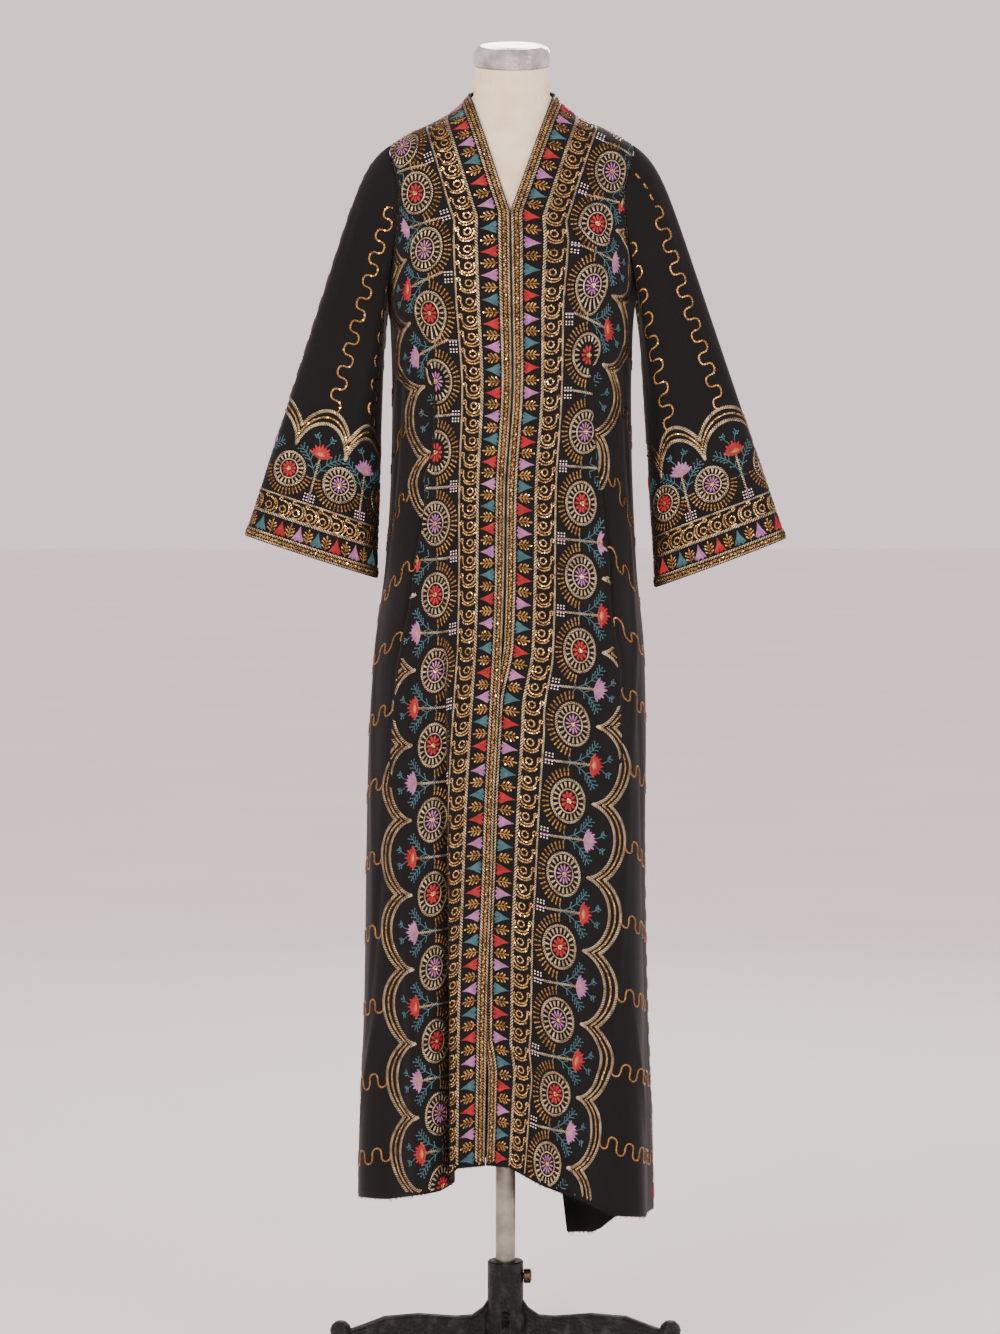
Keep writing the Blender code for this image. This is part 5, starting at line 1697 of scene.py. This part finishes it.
def on_sleeve(params, spots):
    """A test of which spots lie on a sleeve, clear of its armhole."""
    return (params[..., 1] > 0.012) & (spots[..., 0] > 0)


def add_cuff_embroidery(look):
    """The borders round the cuffs, and the winding lines along the sleeves."""
    for side, name in SIDES:
        st = Stitches(surfaces()["sleeve_layout_" + name], on_sleeve, 21 + side)
        ts = column(CUFF_MEDALLIONS, MEDALLION_COLUMNS, name)
        ks = np.arange(len(ts)) - (1.0 if side > 0 else 0.0)
        design = Pattern(st, ks, ts, CUFF_SCALE, first_flower="lilac")
        flowers = design.counts(1, 0.5)
        draw_border(design, design.counts(1)[1:], flowers)
        for k in flowers:
            draw_meander(design, 0.46, k, 0.0085, dashes=3)
        st.build("sleeve_" + name, look, side > 0)


def on_back(params, spots):
    """A test of which spots lie on the back, clear of its side seams, armholes and hem."""
    away, z = np.abs(params[..., 0] - math.pi), params[..., 1]
    hole, above_hem = clear_of_edges(params)
    clear = (away < math.pi / 2 - hole - SIDE_MARGIN) & (z < SHOULDER_TIP - TOP_MARGIN)
    return clear & above_hem & (spots[..., 0] > 0)


def add_back_embroidery(look):
    """The border along the back's hem, and the winding lines up to the shoulders."""
    layout = surfaces()["back_layout"]
    st = Stitches(layout, on_back, 31)
    ts = np.linspace(layout.t[0] + 0.01, layout.t[-1] - 0.01, BACK_MEDALLIONS + 1)
    design = Pattern(st, np.arange(BACK_MEDALLIONS + 1), ts)
    flowers = design.counts(1, 0.5)
    draw_border(design, design.counts(1), flowers, braid=False)
    for k, end in zip(flowers, BACK_LINES_TO):
        draw_meander(design, end, k, dashes=4)
    st.build("back", look, True)


def add_frays(look):
    """Loose thread ends along the raw hems: short bent hairs, each with its own length and lean.

    A hair has three rings of three points round a line that leaves the hem, bends and ends in a point.
    """
    held = surfaces()
    rng = np.random.default_rng(41)
    spans = {
        "front_left": (held["left"], float(front_edge_angle(0.31, 1)) + 0.02, math.pi / 2),
        "front_right": (held["right"], -math.pi / 2, float(front_edge_angle(0.31, -1)) - 0.02),
        "back": (held["round"], math.pi / 2 + 0.01, 1.5 * math.pi - 0.01),
    }
    for name, (surface, low, high) in spans.items():
        count = int(FRAYS_PER_RADIAN * (high - low))
        angle = np.sort(rng.uniform(low, high, count))
        z = hem_height(angle)
        outward = surface.read(surface.normals, angle, z)
        start = surface.at(angle, z) - (CLOTH / 2) * outward
        along = unit(np.cross(outward, (0.0, 0.0, 1.0)))
        long = rng.uniform(0.0006, 0.0022, count) + 0.0040 * rng.uniform(0.0, 1.0, count) ** 6
        sway, swing = rng.uniform(-0.7, 0.7, (2, count, 1))
        rings = []
        for part, radius in FRAY_RINGS:
            bent = max(part, 0.0) ** 2 * (sway * along + 0.4 * swing * outward)
            middle = start + long[:, None] * (part * np.array([0.0, 0.0, -1.0]) + bent)
            for turn in np.radians((90, 210, 330)):
                rings.append(middle + radius * (math.cos(turn) * along + math.sin(turn) * outward))
        points = np.stack(rings, axis=1).reshape(-1, 3)
        faces = grid_faces(3, 3, closed=True)[None] + 9 * np.arange(count)[:, None, None]
        add_mesh(name + "_frays", points, faces.reshape(-1, 4), crepe_finish(look))


# Dress form and stand
def dress_node(name, finish):
    """Gives a CAD node a finer material through its object's own slots."""
    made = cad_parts[name]
    for slot in made.material_slots:
        slot.link = "OBJECT"
        slot.material = finish


def dress_metal(node, name, *arguments):
    """Gives a CAD node a metal by its tones, roughness, size of spots and of grain, and stretch."""
    dress_node(node, finish_named(node, name, paint_metal, *arguments))


def add_form(look):
    """The jersey cover of the torso and the bright cap on its neck."""
    dress_node("torso_form", finish_named("cover", "cream jersey form cover", paint_cover, look))
    chrome = (look.chrome_light, look.chrome_dark, 0.09, 0.03, 0.004)
    dress_metal("neck_cap", "polished chrome plate", *chrome)


def add_stand(look):
    """The satin steel pole, the enamelled cast base and its brass screw."""
    steel = (look.steel_light, look.steel_dark, 0.30, 0.04, 0.004, 0.04)
    dress_metal("pole", "satin steel tube", *steel)
    dress_node("cast_base", finish_named("enamel", "satin black enamel on cast iron", paint_enamel, look))
    brass = (look.brass_light, look.brass_dark, 0.34, 0.004, 0.0012)
    dress_metal("set_screw", "tarnished brass screw", *brass)


# Stage
def add_light(name, place, size, power, tint):
    """A soft square light that faces the waist."""
    made = bpy.data.lights.new(name, "AREA")
    made.size = size
    made.energy = power
    made.color = colour(tint)[:3]
    lamp = bpy.data.objects.new(name, made)
    bpy.context.scene.collection.objects.link(lamp)
    lamp.location = place
    lamp.rotation_euler = (Vector(WAIST) - Vector(place)).to_track_quat("-Z", "Y").to_euler()
    return lamp


def add_stage(look):
    """A pale floor, soft lights with two small ones for the sequins' glints, and the camera."""
    link = bpy.context.scene.collection.objects.link
    mesh = bpy.data.meshes.new("floor")
    corners = [(x * FLOOR_HALF, y * FLOOR_HALF, 0.0) for x, y in ((-1, -1), (1, -1), (1, 1), (-1, 1))]
    mesh.from_pydata(corners, [], [(0, 1, 2, 3)])
    mesh.materials.append(finish_named("floor", "pale matte studio floor", paint_floor, look))
    floor = bpy.data.objects.new("floor", mesh)
    link(floor)
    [add_light(*light[:3], look.key_power * light[3], light[4]) for light in LIGHTS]
    world = bpy.data.worlds.new("studio")
    world.use_nodes = True
    background = world.node_tree.nodes["Background"]
    background.inputs["Color"].default_value = linear(look.backdrop)
    background.inputs["Strength"].default_value = look.backdrop_strength
    bpy.context.scene.world = world
    lens = bpy.data.cameras.new("camera")
    lens.sensor_width = 36.0
    lens.lens = CAMERA_LENS
    lens.clip_end = 100.0
    camera = bpy.data.objects.new("camera", lens)
    link(camera)
    camera.location = np.array(CAMERA_PLACE) + SHIFT
    camera.rotation_euler = (math.pi / 2 + CAMERA_TILT, 0.0, 0.0)
    bpy.context.scene.camera = camera


# Add-on
def tone(label, hint, code):
    """A colour property whose default is an sRGB hex code."""
    return FloatVectorProperty(
        name=label, description=hint, default=colour(code), size=4, subtype="COLOR", min=0.0, max=1.0
    )


def thickness(label, hint, value):
    """A length property in metres."""
    return FloatProperty(
        name=label, description=hint, default=value, min=0.0, max=0.01, precision=4, unit="LENGTH"
    )


class AbayaLooks(PropertyGroup):
    """Sizes, colours and light that a user would change."""

    cloth_wall: thickness("Cloth wall", "Thickness of the cloth's shells", 0.0012)
    tape_wall: thickness("Tape wall", "Thickness of the braid's tapes", 0.0006)
    crepe_dark: tone("Crepe, dark", "Darker tone of the black cloth", "#070607")
    crepe_light: tone("Crepe, light", "Lighter tone of the black cloth", "#0b0a0b")
    # The tones from silver to pearl are painted highlight tones of threads, sequins and beads; THREADS and
    # SEQUINS hold their painted shade tones
    silver: tone("Silver", "Bright tone of the silver thread", "#d9c5a0")
    gold: tone("Gold", "Bright tone of the gold thread", "#b88a4e")
    sequin: tone("Sequins", "Bright tone of the gold sequins", "#ffd892")
    copper: tone("Copper", "Bright tone of the winding lines", "#c4965b")
    red: tone("Red", "Red silk", "#b81722")
    lilac: tone("Lilac", "Lilac silk", "#b47aa9")
    teal: tone("Teal", "Teal silk", "#447079")
    beige: tone("Beige", "Pale silk of the flowers' hearts", "#c9a66b")
    pearl: tone("Pearl", "White beads", "#fbf4ec")
    cover_light: tone("Cover, light", "Lighter tone of the form's cover", "#fbe8cd")
    cover_dark: tone("Cover, dark", "Darker tone of the form's cover", "#f0d8b2")
    chrome_light: tone("Chrome, light", "Bright tone of the cap", "#e4e4e2")
    chrome_dark: tone("Chrome, dark", "Dull tone of the cap", "#a5a5a2")
    steel_light: tone("Steel, light", "Bright tone of the pole", "#96948a")
    steel_dark: tone("Steel, dark", "Dull tone of the pole", "#64625a")
    iron_light: tone("Iron, light", "Worn tone of the base", "#2a2a29")
    iron_dark: tone("Iron, dark", "Black of the base", "#070707")
    brass_light: tone("Brass, light", "Bright tone of the screw", "#5c503a")
    brass_dark: tone("Brass, dark", "Dull tone of the screw", "#241f19")
    floor_light: tone("Floor, light", "Lighter tone of the floor", "#fbf6f6")
    floor_dark: tone("Floor, dark", "Darker tone of the floor", "#f8f2f2")
    backdrop: tone("Backdrop", "Colour round the object", "#f4e0e0")
    backdrop_strength: FloatProperty(name="Backdrop", description="Light from all round", default=1.35)
    key_power: FloatProperty(name="Key light", description="Main light, in watts", default=105.0)


class ABAYA_OT_panels(Operator):
    """Builds the fronts, the back and the sleeves."""

    bl_idname = "abaya.panels"
    bl_label = "Cloth panels"

    def execute(self, context):
        add_panels(context.scene.abaya_looks)
        return {"FINISHED"}


class ABAYA_OT_braids(Operator):
    """Builds the tapes along the fronts, round the neck and round the cuffs."""

    bl_idname = "abaya.braids"
    bl_label = "Braids"

    def execute(self, context):
        add_braids(context.scene.abaya_looks)
        return {"FINISHED"}


class ABAYA_OT_front_embroidery(Operator):
    """Sews the borders down the fronts and round the neck."""

    bl_idname = "abaya.front_embroidery"
    bl_label = "Front embroidery"

    def execute(self, context):
        add_front_embroidery(context.scene.abaya_looks)
        return {"FINISHED"}


class ABAYA_OT_cuff_embroidery(Operator):
    """Sews the borders round the cuffs."""

    bl_idname = "abaya.cuff_embroidery"
    bl_label = "Cuff embroidery"

    def execute(self, context):
        add_cuff_embroidery(context.scene.abaya_looks)
        return {"FINISHED"}


class ABAYA_OT_back_embroidery(Operator):
    """Sews the border along the back's hem."""

    bl_idname = "abaya.back_embroidery"
    bl_label = "Back embroidery"

    def execute(self, context):
        add_back_embroidery(context.scene.abaya_looks)
        return {"FINISHED"}


class ABAYA_OT_frays(Operator):
    """Adds the loose thread ends along the raw hems."""

    bl_idname = "abaya.frays"
    bl_label = "Raw hems"

    def execute(self, context):
        add_frays(context.scene.abaya_looks)
        return {"FINISHED"}


class ABAYA_OT_sheets(Operator):
    """A step that does nothing."""

    bl_idname = "abaya.sheets"
    bl_label = "Cut of the cloth"

    def execute(self, context):
        return {"FINISHED"}


class ABAYA_OT_form(Operator):
    """Finishes the torso form and its cap."""

    bl_idname = "abaya.form"
    bl_label = "Dress form"

    def execute(self, context):
        add_form(context.scene.abaya_looks)
        return {"FINISHED"}


class ABAYA_OT_stand(Operator):
    """Finishes the pole, the base and the screw."""

    bl_idname = "abaya.stand"
    bl_label = "Stand"

    def execute(self, context):
        add_stand(context.scene.abaya_looks)
        return {"FINISHED"}


class ABAYA_OT_stage(Operator):
    """Builds the floor, the lights and the camera."""

    bl_idname = "abaya.stage"
    bl_label = "Stage"

    def execute(self, context):
        add_stage(context.scene.abaya_looks)
        return {"FINISHED"}


OPERATORS = (
    ABAYA_OT_panels,
    ABAYA_OT_braids,
    ABAYA_OT_front_embroidery,
    ABAYA_OT_cuff_embroidery,
    ABAYA_OT_back_embroidery,
    ABAYA_OT_frays,
    ABAYA_OT_sheets,
    ABAYA_OT_form,
    ABAYA_OT_stand,
    ABAYA_OT_stage,
)


class ABAYA_PT_panel(Panel):
    """Sidebar panel that lists the steps."""

    bl_label = "Abaya"
    bl_idname = "ABAYA_PT_panel"
    bl_space_type = "VIEW_3D"
    bl_region_type = "UI"
    bl_category = "Abaya"

    def draw(self, context):
        for step in OPERATORS:
            self.layout.operator(step.bl_idname)
        for name in AbayaLooks.__annotations__:
            self.layout.prop(context.scene.abaya_looks, name)


CLASSES = (AbayaLooks, *OPERATORS, ABAYA_PT_panel)


def register():
    """Adds the classes and the scene's looks."""
    for made in CLASSES:
        bpy.utils.register_class(made)
    bpy.types.Scene.abaya_looks = PointerProperty(type=AbayaLooks)


def unregister():
    """Takes the classes and the scene's looks away again."""
    del bpy.types.Scene.abaya_looks
    for made in reversed(CLASSES):
        bpy.utils.unregister_class(made)


def main():
    """Builds every piece in order."""
    register()
    for step in OPERATORS:
        group, name = step.bl_idname.split(".")
        getattr(getattr(bpy.ops, group), name)()


if __name__ == "__main__":
    main()
